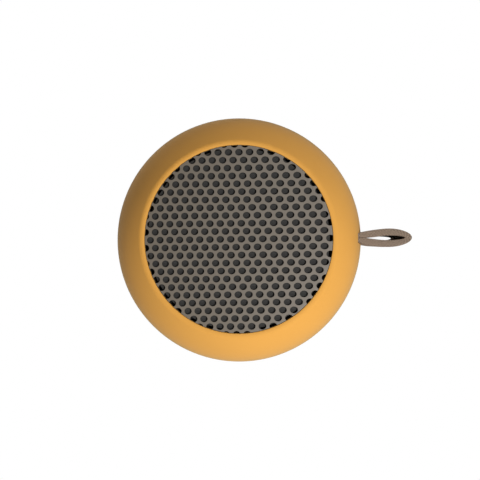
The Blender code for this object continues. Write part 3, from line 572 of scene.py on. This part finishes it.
LAMP_SIZE = 0.08
LAMPS = {  # azimuth and elevation in degrees, distance in metres, power in watts
    "key": (-35, 60, 0.345, 0.77),
    "front_fill": (-90, 35, 0.374, 0.57),
    "side_fill": (60, 60, 0.374, 0.31),
}
SKY = 0.02
FLOOR_GLOW = 1.0  # just white


def make_camera():
    data = bpy.data.cameras.new("camera")
    data.lens = 50
    data.sensor_width = 36
    data.clip_start = 0.01
    data.clip_end = 20
    camera = new_object("camera", data)
    camera.location = CAMERA_PLACE
    tilt = Vector((0, 0, -1)).rotation_difference(CAMERA_TARGET - CAMERA_PLACE)
    camera.rotation_euler = (tilt @ Quaternion((0, 0, 1), math.radians(CAMERA_ROLL))).to_euler()
    bpy.context.scene.camera = camera


def area_light(name, azimuth, elevation, distance, power):
    """A square light that faces the speaker from an azimuth and elevation in degrees."""
    data = bpy.data.lights.new(name, "AREA")
    data.size = LAMP_SIZE
    data.energy = power
    light = new_object(name, data)
    a, e = math.radians(azimuth), math.radians(elevation)
    away = Vector((math.cos(a) * math.cos(e), math.sin(a) * math.cos(e), math.sin(e)))
    target = Vector((0, 0, SPLIT_Z))
    light.location = target + away * distance
    light.rotation_euler = away.to_track_quat("Z", "Y").to_euler()


def make_world(strength, backdrop):
    """A dim even sky for the light, and a pale backdrop where the camera looks past the floor."""
    world = bpy.data.worlds.new("studio")
    bpy.context.scene.world = world
    world.use_nodes = True
    tree = world.node_tree
    tree.nodes["Background"].inputs["Strength"].default_value = strength
    tree.nodes["Background"].inputs["Color"].default_value = (1, 1, 1, 1)
    seen = tree.nodes.new("ShaderNodeBackground")
    seen.inputs["Strength"].default_value = backdrop
    seen.inputs["Color"].default_value = (1, 1, 1, 1)
    switch = tree.nodes.new("ShaderNodeMixShader")
    tree.links.new(tree.nodes.new("ShaderNodeLightPath").outputs["Is Camera Ray"], switch.inputs["Fac"])
    tree.links.new(tree.nodes["Background"].outputs["Background"], switch.inputs[1])
    tree.links.new(seen.outputs["Background"], switch.inputs[2])
    tree.links.new(switch.outputs["Shader"], tree.nodes["World Output"].inputs["Surface"])


def make_floor():
    """A clean white floor that gives out an even light of its own."""
    shape = bmesh.new()
    bmesh.ops.create_circle(shape, cap_ends=True, radius=2.5, segments=96)
    disc = from_bmesh("floor", shape)
    disc.location.z = -0.05 * MM
    paint = bpy.data.materials.new("floor_white")
    paint.use_nodes = True
    shader = paint.node_tree.nodes["Principled BSDF"]
    shader.inputs["Base Color"].default_value = (0, 0, 0, 1)
    shader.inputs["Roughness"].default_value = 1.0
    shader.inputs["Specular IOR Level"].default_value = 0.0
    shader.inputs["Emission Color"].default_value = (1, 1, 1, 1)
    shader.inputs["Emission Strength"].default_value = FLOOR_GLOW
    disc.data.materials.append(paint)


def make_stage():
    bpy.context.scene.view_settings.view_transform = "Standard"
    make_camera()
    make_world(SKY, FLOOR_GLOW)
    for name, (azimuth, elevation, distance, power) in LAMPS.items():
        area_light(name, azimuth, elevation, distance, power)
    make_floor()


# ---------------------------------------------------------------- casing

EDGE = 0.2 * MM  # rounding of the casing's edges at the seam


def slot_cutter(name):
    """The strap's slot: just wider than the webbing, and round inside where it wraps its pin."""
    sides = [(x, strap_half_width(x) + SLOT_SIDE) for x in between(*SLOT_X, 10)]
    pocket = arc((PIN_X, 0), WRAP_RADIUS + CLEARANCE, 60, 300, 16)
    outline = [*sides, *[(x, -y) for x, y in reversed(sides)], *reversed(pocket)]
    return prism(name, outline, SPLIT_Z - SLOT_HALF_HEIGHT, SPLIT_Z + SLOT_HALF_HEIGHT)


def seam_edge(split, side):
    """The flank's last point before the seam and the small rounding there. side is 1 above it, -1 below."""
    centre = (FLANK_RADIUS - EDGE, split + side * EDGE)
    return arc(centre, EDGE, 0, -90 * side, 3)


def lip_edge():
    """The small rounding where the slope inside the crest ends at the grille's opening."""
    slope_start = RIM_CENTRE - RIM_ROUND * math.sin(LIP_SLOPE)
    slope_top = CREST_Z - RIM_ROUND * (1 - math.cos(LIP_SLOPE))
    run = slope_start - LIP_RADIUS - LIP_EDGE
    centre = (LIP_RADIUS + LIP_EDGE, slope_top - run * math.tan(LIP_SLOPE) - LIP_EDGE / math.cos(LIP_SLOPE))
    return arc(centre, LIP_EDGE, 180, 90 + math.degrees(LIP_SLOPE), 4)


def front_shell():
    split = SPLIT_Z + SEAM_GAP
    crest = 90 + math.degrees(LIP_SLOPE)
    rim_end = SPLIT_Z + FLANK_RISE * math.sqrt(1 - (RIM_RADIUS / FLANK_RADIUS) ** 2)
    profile = [
        *lip_edge(),
        *arc((RIM_CENTRE, CREST_Z - RIM_ROUND), RIM_ROUND, crest, 90 - math.degrees(RIM_TILT), 10)[:-1],
        *reversed(flank_points(split + EDGE, rim_end, 36)),
        *seam_edge(split, 1)[1:],
        (FLANGE_INNER, split),
        (FLANGE_INNER, split + FLANGE_THICK),
        *flank_points(split + FLANGE_THICK, SHELF_BOTTOM, 10, WALL),
        (SHELF_OPENING, SHELF_BOTTOM),
        (SHELF_OPENING, SHELF_TOP),
        (CUP_RADIUS, SHELF_TOP),
        (CUP_RADIUS, LEDGE_Z),
        (LIP_RADIUS, LEDGE_Z),
    ]
    shell = turned("front_shell", profile)
    combined(shell, "DIFFERENCE", [slot_cutter("front_slot")])
    finish(shell, CASING.material, "casing", ["front_housing"])


def key_opening(angle):
    outline = rounded_outline(KEY_HALF[0] + KEY_GAP, KEY_HALF[1] + KEY_GAP, KEY_CORNER + KEY_GAP)
    rings = [[(x, y, KEY_Z + z) for y, z in outline] for x in (KEY_OPENING_X, BEYOND)]
    return turn_about_z(lofted("key_opening", rings), angle)


def rear_shell():
    split = SPLIT_Z - SEAM_GAP
    rim_end = SPLIT_Z - FLANK_RISE * math.sqrt(1 - (RIM_RADIUS / FLANK_RADIUS) ** 2)
    rim_start = 270 + math.degrees(RIM_TILT)
    profile = [
        (0, FLOOR_TOP),
        *flank_points(FLOOR_TOP, split - FLANGE_THICK, 10, WALL),
        (FLANGE_INNER, split - FLANGE_THICK),
        (FLANGE_INNER, split),
        *reversed(seam_edge(split, -1)[1:]),
        *reversed(flank_points(rim_end, split - EDGE, 36)),
        *arc((RIM_CENTRE, UNDERSIDE_Z + RIM_ROUND), RIM_ROUND, rim_start, 270, 8)[1:],
        (PAD_RECESS_RADIUS, UNDERSIDE_Z),
        (PAD_RECESS_RADIUS, PAD_RECESS_TOP),
        (0, PAD_RECESS_TOP),
    ]
    shell = turned("rear_shell", profile)
    port_walls = block("port_walls", (PORT_WALLS_X[0], -PORT_WALLS_HALF_WIDTH, PORT_WALLS_BOTTOM),
                       (PORT_WALLS_X[1], PORT_WALLS_HALF_WIDTH, split - FLANGE_THICK / 2), 0.5 * MM, 0)
    below = 10 * MM  # a little under the walls
    under_skin = flank_points(below, split, 12, PORT_WALLS_INSET)
    combined(port_walls, "INTERSECT", [turned("under_skin", [(0, below), *under_skin, (0, split)])])
    combined(shell, "UNION", [port_walls])
    light_hole = bar("light_hole", (0, -36 * MM, PIPE_Z), (0, -BEYOND, PIPE_Z), PIPE_HOLE_RADIUS)
    combined(shell, "DIFFERENCE", [light_hole, *[key_opening(angle) for angle in KEY_ANGLES]])
    combined(shell, "DIFFERENCE", [slot_cutter("rear_slot")])
    half_width = -COVER_LOW.y + RECESS_GAP
    recess = block("recess", (-BEYOND, -half_width, RECESS_BOTTOM),
                   (RECESS_FLOOR_X, half_width, COVER_HIGH.z + RECESS_GAP), 1.0 * MM, 0)
    combined(shell, "DIFFERENCE", [recess])
    groove = bar("groove", (HINGE_X, -half_width, HINGE_Z), (HINGE_X, half_width, HINGE_Z), GROOVE_RADIUS)
    combined(shell, "DIFFERENCE", [groove])
    reach = (PORT_HIGH.y + CLEARANCE, (PORT_HIGH.z - PORT_LOW.z) / 2 + CLEARANCE)
    opening = block("opening", (PORT_OPENING_X[0], -reach[0], PORT_Z - reach[1]),
                    (PORT_OPENING_X[1], reach[0], PORT_Z + reach[1]), 1.7 * MM, 0)
    combined(shell, "DIFFERENCE", [opening])
    finish(shell, CASING.material, "casing", ["rear_housing"])


def base_pad():
    """Rubber disc with concentric treads; their flat tops are what it stands on."""
    tread, groove, depth, edge = 2.4 * MM, 0.7 * MM, 0.35 * MM, 0.12 * MM
    radius, rounding = PAD_HIGH.x, 0.4 * MM
    profile = [(0, PAD_HIGH.z), (radius, PAD_HIGH.z), (radius, PAD_LOW.z + rounding)]
    profile += arc((radius - rounding, PAD_LOW.z + rounding), rounding, 0, -90, 4)[1:]
    at = radius - 3.0 * MM  # the outermost groove
    middle_disc = 4 * MM
    while at > middle_disc:
        profile += [(at, PAD_LOW.z), (at - edge, PAD_LOW.z + depth), (at - groove, PAD_LOW.z + depth),
                    (at - groove - edge, PAD_LOW.z)]
        at -= tread + groove
    profile += [(0, PAD_LOW.z)]
    finish(turned("foot_pad", profile), RUBBER.material, "casing", ["base_pad"])


# ---------------------------------------------------------------- grille

HOLE_PITCH = 3.386 * MM
ROW_PITCH = 2.5225 * MM
PITCH_GROWTH = 0.0188 * MM  # the pitch along a row grows a little towards the strap
ROW_BOW = 0.0104 * MM  # and the rows' ends lie a little further out than their middle
FIRST_HOLE = (0.820 * MM, -0.049 * MM)
HOLE_HALF_WIDTH = 0.352  # of the pitch there
HOLE_HALF_HEIGHT = 0.419  # of the row pitch
HOLE_SIDES = 28
SHEET = 0.45 * MM
SHEET_EDGE = 0.2 * MM
SHEET_RADIUS = LIP_RADIUS - 0.04 * MM
HOLE_CHAMFER = 0.05 * MM
LAST_ROW, LAST_HALF_STEP = 13, 20  # far enough each way to cover the sheet
BACKING_RADIUS = 29.1 * MM
BACKING_GAP = 0.4 * MM
BACKING_SHEET = 0.4 * MM
DOME_DROP = 0.1 * MM
# SEAT_TOP to SEAT_WALL size the near-black ring of painted shade round the grille.
SEAT_TOP = 39.75 * MM
SEAT_FLOOR = LEDGE_Z + 0.02 * MM
SEAT_STEP = LEDGE_Z + 0.12 * MM
SEAT_WALL = 0.08 * MM


def dome_z(radius, top=None):
    return (GRILLE_HIGH.z if top is None else top) - DOME_DROP * (radius / LIP_RADIUS) ** 2


def hole_sites():
    """(x, y, half width, half height) of every hole that reaches into the sheet."""
    for row in range(-LAST_ROW, LAST_ROW + 1):
        for half_step in range(-LAST_HALF_STEP, LAST_HALF_STEP + 1):
            if (row + half_step) % 2:
                continue
            step = half_step / 2
            x = FIRST_HOLE[0] + HOLE_PITCH * step + PITCH_GROWTH * step**2 + ROW_BOW * row**2
            y = FIRST_HOLE[1] + ROW_PITCH * row
            half_width = HOLE_HALF_WIDTH * (HOLE_PITCH + 2 * PITCH_GROWTH * step)
            half_height = HOLE_HALF_HEIGHT * ROW_PITCH
            if math.hypot(x, y) < SHEET_RADIUS + 0.6 * half_width:
                yield x, y, half_width, half_height


def punches():
    """One mesh of oval punches, each a little wider at the top, so that every hole gets a soft edge."""
    shape = bmesh.new()
    angles = [math.tau * i / HOLE_SIDES for i in range(HOLE_SIDES)]
    for x, y, half_width, half_height in hole_sites():
        top = dome_z(math.hypot(x, y))
        levels = [
            (top + 1.2 * MM, HOLE_CHAMFER * 2),
            (top + 0.02 * MM, HOLE_CHAMFER),
            (top - HOLE_CHAMFER, 0.0),
            (top - 4 * MM, 0.0),
        ]
        rows = []
        for z, grow in levels:
            wide, high = half_width + grow, half_height + grow
            ring = [(x + wide * math.cos(a), y + high * math.sin(a), z) for a in angles]
            rows.append([shape.verts.new(point) for point in ring])
        for first, second in zip(rows, rows[1:]):
            for i in range(HOLE_SIDES):
                j = (i + 1) % HOLE_SIDES
                shape.faces.new((first[j], first[i], second[i], second[j]))
        shape.faces.new(rows[0])
        shape.faces.new(list(reversed(rows[-1])))
    return from_bmesh("punches", shape)


def grille():
    turn_radius = SHEET_RADIUS - SHEET_EDGE
    turn_z = dome_z(turn_radius)
    outer = [(r, dome_z(r)) for r in between(0, turn_radius, 10)]
    edge = arc((turn_radius, turn_z - SHEET_EDGE), SHEET_EDGE, 90, 0, 6)[1:]
    inner_radius = BACKING_RADIUS + 0.08 * MM
    inner = [(r, dome_z(r) - SHEET) for r in between(0, inner_radius, 6)]
    foot = GRILLE_LOW.z
    profile = [*outer, *edge, (SHEET_RADIUS, foot), (inner_radius, foot), *reversed(inner)]
    sheet = turned("grille_sheet", profile)
    combined(sheet, "DIFFERENCE", [punches()])
    finish(sheet, GRILLE.material, "casing", ["grille"], angle=40)


def grille_backing():
    """The cloth behind the holes, and a near-black ring round it that stands in for the shade in the cup:
    painted shade.
    """
    top = GRILLE_HIGH.z - SHEET - BACKING_GAP
    upper = [(r, dome_z(r, top)) for r in between(0, BACKING_RADIUS, 8)]
    lower = [(r, z - BACKING_SHEET) for r, z in reversed(upper)]
    cloth = turned("backing_cloth", [*upper, *lower], 96)
    finish(cloth, CLOTH.material, "casing", ["grille_cloth"])
    outer = LIP_RADIUS - 0.02 * MM
    # Painted shade: a near-black ring over the cup's wall and ledge, where only shade falls.
    shade_seat = turned("grille_shade_ring", [
        (outer, SEAT_TOP), (outer, SEAT_FLOOR), (CUP_RADIUS, SEAT_FLOOR),
        (CUP_RADIUS, SEAT_STEP), (outer - SEAT_WALL, SEAT_STEP), (outer - SEAT_WALL, SEAT_TOP),
    ])
    finish(shade_seat, SHADE_SEAT.material, "casing")


# ---------------------------------------------------------------- driver suspension


def flexing_ring(name, node, slot, profile, fixed_radius, moving_radius):
    """A still ring in twelve sectors, lofted round the axis from a profile."""
    sectors, steps = 12, 4
    width = math.tau / sectors
    for number in range(sectors):
        middle = number * width
        angles = [middle + width * (i / steps - 0.5) for i in range(steps + 1)]
        rings = [[(r * math.cos(a), r * math.sin(a), z) for r, z in profile] for a in angles]
        sector = lofted(f"{name}_sector_{number + 1}", rings)
        finish(sector, CARRIED[slot].material, None, [] if number else [node], angle=50)
        start, end = ((r * math.cos(middle), r * math.sin(middle), profile[0][1])
                      for r in (fixed_radius, moving_radius))
        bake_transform(sector)
        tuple(start)
        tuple(end)


def driver_suspension():
    """The surround's half roll and the corrugated spider."""
    low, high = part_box("driver_surround")
    thick, inner, roll_inner, roll_outer = 0.4 * MM, 16.0 * MM, 17.2 * MM, 20.8 * MM
    held, moved = 20.6 * MM, 17.4 * MM  # radii outside and inside; they are passed on but nothing moves the ring
    flat_z = low.z + thick
    middle, half, rise = (roll_inner + roll_outer) / 2, (roll_outer - roll_inner) / 2, high.z - flat_z
    turns = [math.radians(a) for a in between(0, 180, 12)]
    roll = [(middle + half * math.cos(a), flat_z + rise * math.sin(a)) for a in turns]
    upper = [(high.x, flat_z), *roll, (inner, flat_z)]
    under = [(r, z - thick) for r, z in upper]
    flexing_ring("surround", "driver_surround", "rubber", [*upper, *reversed(under)], held, moved)

    low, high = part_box("driver_spider")
    thick, wave, neck, fold_outer, fold_count = 0.35 * MM, 0.2 * MM, 7.05 * MM, 13.4 * MM, 3
    held, moved = 13.2 * MM, 7.4 * MM
    width = fold_outer - neck
    folds = [(r, low.z + wave * (1 - math.cos(math.tau * fold_count * (fold_outer - r) / width)))
             for r in between(fold_outer, neck, 24)]
    under = [(high.x, low.z), *folds]
    upper = [(r, z + thick) for r, z in under]
    flexing_ring("spider", "driver_spider", "spider_cloth", [*upper, *reversed(under)], held, moved)


# ---------------------------------------------------------------- keys, light pipe and port cover


def facing(x_of, outline, centre_z):
    """A ring of points over an outline (across, up), at the depth that x_of gives."""
    return [(x_of(y, z + centre_z), y, z + centre_z) for y, z in outline]


def skin_x(y, z):
    """How far out the flank is, at y across and height z, seen along X."""
    return math.sqrt(flank(z) ** 2 - y**2)


def edge_lift(inset, rounding):
    """How far a rounded edge has fallen back, at a distance in from the side."""
    return rounding - math.sqrt(rounding**2 - (rounding - min(inset, rounding)) ** 2)


def key_icon(name):
    """The mark on a key, as prisms that point along X and are cut into it."""
    wide, tall, corner = 1.9 * MM, 0.5 * MM, 0.2 * MM

    def plate(outline):
        return lofted("icon", [[(x, y, KEY_Z + z) for y, z in outline] for x in (ICON_BACK_X, BEYOND)])

    across = rounded_outline(wide / 2, tall / 2, corner, 4)
    upright = rounded_outline(tall / 2, wide / 2, corner, 4)
    if name == "volume_down_key":
        return [plate(across)]
    if name == "volume_up_key":
        return [combined(plate(across), "UNION", [plate(upright)])]
    if name == "play_key":
        return [plate([(1.0 * MM, 0), (-0.7 * MM, 1.0 * MM), (-0.7 * MM, -1.0 * MM)])]
    start, end = 128, 412  # degrees, from one side of the gap at the top round to the other
    centre, outer, inner = (0, -0.1 * MM), 1.05 * MM, 0.7 * MM
    ring = plate([*arc(centre, outer, start, end, 24), *arc(centre, inner, end, start, 24)])
    stroke_half_width, stroke_half_height, stroke_rise = 0.17 * MM, 0.6 * MM, 0.75 * MM
    stroke = rounded_outline(stroke_half_width, stroke_half_height, 0.1 * MM, 4)
    stem = plate([(y, z + stroke_rise) for y, z in stroke])
    return [ring, stem]


def key(name, body, angle):
    """A silicone key with a soft front edge, a flange behind the wall and the stem that meets its switch."""
    rings = []
    for inset in (KEY_HALF[1], *KEY_INSETS):
        corner = max(KEY_CORNER - inset, SMALLEST_CORNER)
        half_width, half_height = KEY_HALF[0] - inset, max(KEY_HALF[1] - inset, 0.06 * MM)
        lift = edge_lift(inset, KEY_EDGE)
        outline = rounded_outline(half_width, half_height, min(corner, half_height))
        rings.append(facing(lambda y, z, lift=lift: skin_x(y, z) + KEY_PROUD - lift, outline, KEY_Z))
    front, back = KEY_FLANGE_X
    reach = KEY_FLANGE_REACH
    wall = rounded_outline(KEY_HALF[0], KEY_HALF[1], KEY_CORNER)
    flange = rounded_outline(KEY_HALF[0] + reach, KEY_HALF[1] + reach, KEY_CORNER + reach)
    stem_z = KEY_Z + KEY_STEM_RISE
    stem = rounded_outline(KEY_STEM_HALF, KEY_STEM_HALF, KEY_STEM_CORNER)
    rings.append(facing(lambda y, z: front, wall, KEY_Z))
    rings.append(facing(lambda y, z: front, flange, KEY_Z))
    rings.append(facing(lambda y, z: back, flange, KEY_Z))
    rings.append(facing(lambda y, z: back, stem, stem_z))
    rings.append(facing(lambda y, z: KEY_STEM_END_X, stem, stem_z))
    made = lofted(name + "_cap", rings)
    marks = joined(key_icon(name))
    inner = [facing(lambda y, z, at=at: skin_x(y, z) + at, rounded_outline(*ICON_ZONE), KEY_Z)
             for at in (KEY_PROUD - ICON_DEPTH, KEY_PROUD + 1.0 * MM)]
    combined(marks, "INTERSECT", [lofted("mark_zone", inner)])
    combined(made, "DIFFERENCE", [marks])
    turn_about_z(made, angle)
    finish(made, KEY_RUBBER.material, body, [name])


def light_pipe():
    """A milky rod, flush with the flank, with a slightly domed end."""
    end = skin_x(0, PIPE_Z)
    start = -PIPE_HIGH.y
    profile = [
        (PIPE_RADIUS * 0.5, end),
        (PIPE_RADIUS * 0.85, end - 0.05 * MM),
        (PIPE_RADIUS, end - 0.15 * MM),
        (PIPE_RADIUS, start),
    ]
    angles = [math.tau * i / 32 for i in range(32)]
    rings = [[(x, r * math.cos(a), PIPE_Z + r * math.sin(a)) for a in angles] for r, x in profile]
    pipe = turn_about_z(lofted("status_light_pipe", rings), -90)
    finish(pipe, PIPE.material, "casing", ["led_light_pipe"])


def port_cover():
    """A rubber flap, flush with the flank, with a finger notch at its top edge."""
    half_width = COVER_HIGH.y
    low, high = HINGE_Z + 1.5 * MM, COVER_HIGH.z
    centre_z, half_height = (low + high) / 2, (high - low) / 2
    rounding, corner = 0.35 * MM, 0.8 * MM
    rings = []
    for inset in (half_height * 0.9, 1.2 * MM, 0.35 * MM, 0.18 * MM, 0.06 * MM, 0.0):
        lift = edge_lift(inset, rounding)
        ring_corner = max(corner - inset, SMALLEST_CORNER)
        outline = rounded_outline(half_width - inset, half_height - inset, ring_corner)
        rings.append(facing(lambda y, z, lift=lift: skin_x(y, z) - lift, outline, centre_z))
    inner_x = -RECESS_FLOOR_X + CLEARANCE
    rings.append(facing(lambda y, z: inner_x, rounded_outline(half_width, half_height, corner), centre_z))
    flap = turn_about_z(lofted("port_flap_skin", rings), 180)
    web_half_width, rib_half_width, rib_half_height = 5.0 * MM, 3.9 * MM, 1.0 * MM
    web = block("web", (HINGE_X - 0.5 * MM, -web_half_width, HINGE_Z),
                (-inner_x - 0.02 * MM, web_half_width, HINGE_Z + 2.2 * MM), 0.1 * MM, 0)
    barrel = bar("barrel", (HINGE_X, -half_width, HINGE_Z), (HINGE_X, half_width, HINGE_Z), BARREL_RADIUS)
    rib = block("rib", (-inner_x - 0.4 * MM, -rib_half_width, PORT_Z - rib_half_height),
                (PORT_LOW.x - CLEARANCE, rib_half_width, PORT_Z + rib_half_height), 0.9 * MM, 0)
    combined(flap, "UNION", [web])
    combined(flap, "UNION", [barrel])
    combined(flap, "UNION", [rib])
    notch_z, notch_radius = high + 2.6 * MM, 3.6 * MM
    notch = bar("notch", (-BEYOND, 0, notch_z), (-41.3 * MM, 0, notch_z), notch_radius, 48)
    combined(flap, "DIFFERENCE", [notch])
    finish(flap, KEY_RUBBER.material, "port_flap", ["port_cover"])


# ---------------------------------------------------------------- strap

STRAP_BEND_X = (42.0 * MM, 46.5 * MM)  # from in the casing's slot to out on the loop; nothing here bends the webbing
RUN_GAP = 0.012 * MM  # half of what is left between the two runs where they lie together
WEBBING_CORNER = 0.12 * MM
RIPPLE_SCALE = 420
RIPPLE = 0.035 * MM
RIPPLE_START = 3 * MM  # over which the ripple grows from the webbing's hidden end
TIP_IN_X, TIP_IN_LENGTH = 43 * MM, 12 * MM  # where the loop begins to be cut back below, and over what
LEAN = 0.15 * MM  # towards +Y inside the slot
LEAN_X, LEAN_LENGTH = 41.0 * MM, 3.0 * MM
SAG_X, SAG_LENGTH = 42.8 * MM, 6.9 * MM
SAG_REST, SAG_DEPTH = 0.03 * MM, 0.07 * MM  # everywhere, and what the dip adds


def strap_half_width(x):
    """Half of the webbing's width across, seen along the pin."""
    if x > STRAP_WIDEST_X:
        share = (x - STRAP_WIDEST_X) / (STRAP_TIP_X - STRAP_WIDEST_X)
        return STRAP_WIDEST * math.sqrt(max(0.0, 1 - share**STRAP_TIP_POWER))
    if x > STRAP_NECK_X:
        share = (STRAP_WIDEST_X - x) / (STRAP_WIDEST_X - STRAP_NECK_X)
        return STRAP_WIDEST - (STRAP_WIDEST - STRAP_NECK) * share**STRAP_WAIST_POWER
    return STRAP_NECK + (WRAP_RADIUS - STRAP_NECK) * ease((STRAP_NECK_X - x) / (STRAP_NECK_X - PIN_X))


def strap_half_gap(x):
    """Half of the gap between the two runs of the loop, seen along the pin."""
    opened = ease((x - LOOP_GAP_START) / (LOOP_GAP_OPEN - LOOP_GAP_START)) ** 1.3
    closing = max(0.0, (x - LOOP_GAP_CLOSING) / (LOOP_GAP_END - LOOP_GAP_CLOSING))
    return LOOP_HALF_GAP * opened * math.sqrt(max(0.0, 1 - closing**2.4))


def strap_sag(x):
    """The loop starts a little to +Y, and sags a little to -Y just outside the casing."""
    start = LEAN * (1 - ease((x - LEAN_X) / LEAN_LENGTH))
    share = (x - SAG_X) / SAG_LENGTH
    return start - SAG_REST - SAG_DEPTH * ease(share * 2) * ease(2 - share * 2)


def strap_stations():
    """Pairs of points (outer, inner) from the pin out along +Y, round the tip and back along -Y."""
    start = PIN_X + 1.0 * MM
    straight = between(start, STRAP_WIDEST_X, 40)
    reach = STRAP_TIP_X - STRAP_WIDEST_X
    inner_reach = LOOP_GAP_END - STRAP_WIDEST_X
    turns = [math.sin(math.radians(a)) for a in between(0, 90, 26)[1:]]
    outward = [(x, strap_half_width(x), x, strap_half_gap(x)) for x in straight]
    for turn in turns:
        x, inner_x = STRAP_WIDEST_X + reach * turn, STRAP_WIDEST_X + inner_reach * turn
        outward.append((x, strap_half_width(x), inner_x, strap_half_gap(inner_x)))
    back = [(x, -y, inner_x, -inner_y) for x, y, inner_x, inner_y in reversed(outward[:-1])]
    for x, y, inner_x, inner_y in [*outward, *back]:
        side = RUN_GAP if y > 0 else -RUN_GAP
        yield Vector((x, y, 0)), Vector((inner_x, inner_y + side, 0))


def section(thickness, half_height, corner):
    """(share from outer to inner, height) round the webbing's section, with soft corners."""
    points = []
    for across, up, start in ((1, 1, 0), (0, 1, 90), (0, -1, 180), (1, -1, 270)):
        sign = 1 if across else -1
        centre = (across * thickness - sign * corner, up * (half_height - corner))
        points += arc(centre, corner, start, start + 90, 4)
        if start in (0, 180):
            continue
        run = between(up * (half_height - corner), -up * (half_height - corner), 14)[1:-1]
        points += [(across * thickness, z) for z in run]
    return [(a / thickness, z) for a, z in points]


def strap():
    """One length of webbing: out from beside the pin, round the tip and back, with weave coordinates."""
    stations = list(strap_stations())
    shape = bmesh.new()
    weave = shape.verts.layers.float_vector.new("weave")
    rows, along = [], 0.0
    for i, (outer, inner) in enumerate(stations):
        if i:
            along += ((outer + inner) / 2 - (stations[i - 1][0] + stations[i - 1][1]) / 2).length
        thickness = (outer - inner).length
        row, around, last = [], 0.0, None
        for share, z in section(thickness, STRAP_HALF_HEIGHT, min(WEBBING_CORNER, thickness * 0.45)):
            point = outer.lerp(inner, share) + Vector((0, 0, SPLIT_Z + z))
            low = (STRAP_HALF_HEIGHT - z) / (2 * STRAP_HALF_HEIGHT)
            point.y = point.y * (1 - LOOP_TAPER * low) + strap_sag(point.x)
            point.x -= LOOP_TIP_IN * low * ease((point.x - TIP_IN_X) / TIP_IN_LENGTH)
            around += (point - last).length if last else 0.0
            last = point
            ripple = noise.noise(Vector((along * RIPPLE_SCALE, around * RIPPLE_SCALE, 0))) * RIPPLE
            outwards = (outer - inner).normalized() * (1 if share < 0.5 else -1)
            vert = shape.verts.new(point + outwards * ripple * min(1.0, along / RIPPLE_START))
            vert[weave] = (along, around, 0)
            row.append(vert)
        rows.append(row)
    for first, second in zip(rows, rows[1:]):
        for i in range(len(first)):
            j = (i + 1) % len(first)
            shape.faces.new((first[i], first[j], second[j], second[i]))
    shape.faces.new(rows[0])
    shape.faces.new(list(reversed(rows[-1])))
    bmesh.ops.recalc_face_normals(shape, faces=shape.faces)
    webbing = from_bmesh("webbing_strap", shape)
    finish(webbing, WEBBING.material, None, ["strap_loop", "strap_root"], angle=60)
    start, end = [(x, 0, SPLIT_Z) for x in STRAP_BEND_X]
    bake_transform(webbing)
    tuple(start)
    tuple(end)


# ---------------------------------------------------------------- assembly

make_stage()
carried_over()
front_shell()
rear_shell()
base_pad()
grille()
grille_backing()
driver_suspension()
for key_name, key_body, key_angle in zip(KEY_NAMES, KEY_BODIES, KEY_ANGLES):
    key(key_name, key_body, key_angle)
light_pipe()
port_cover()
strap()
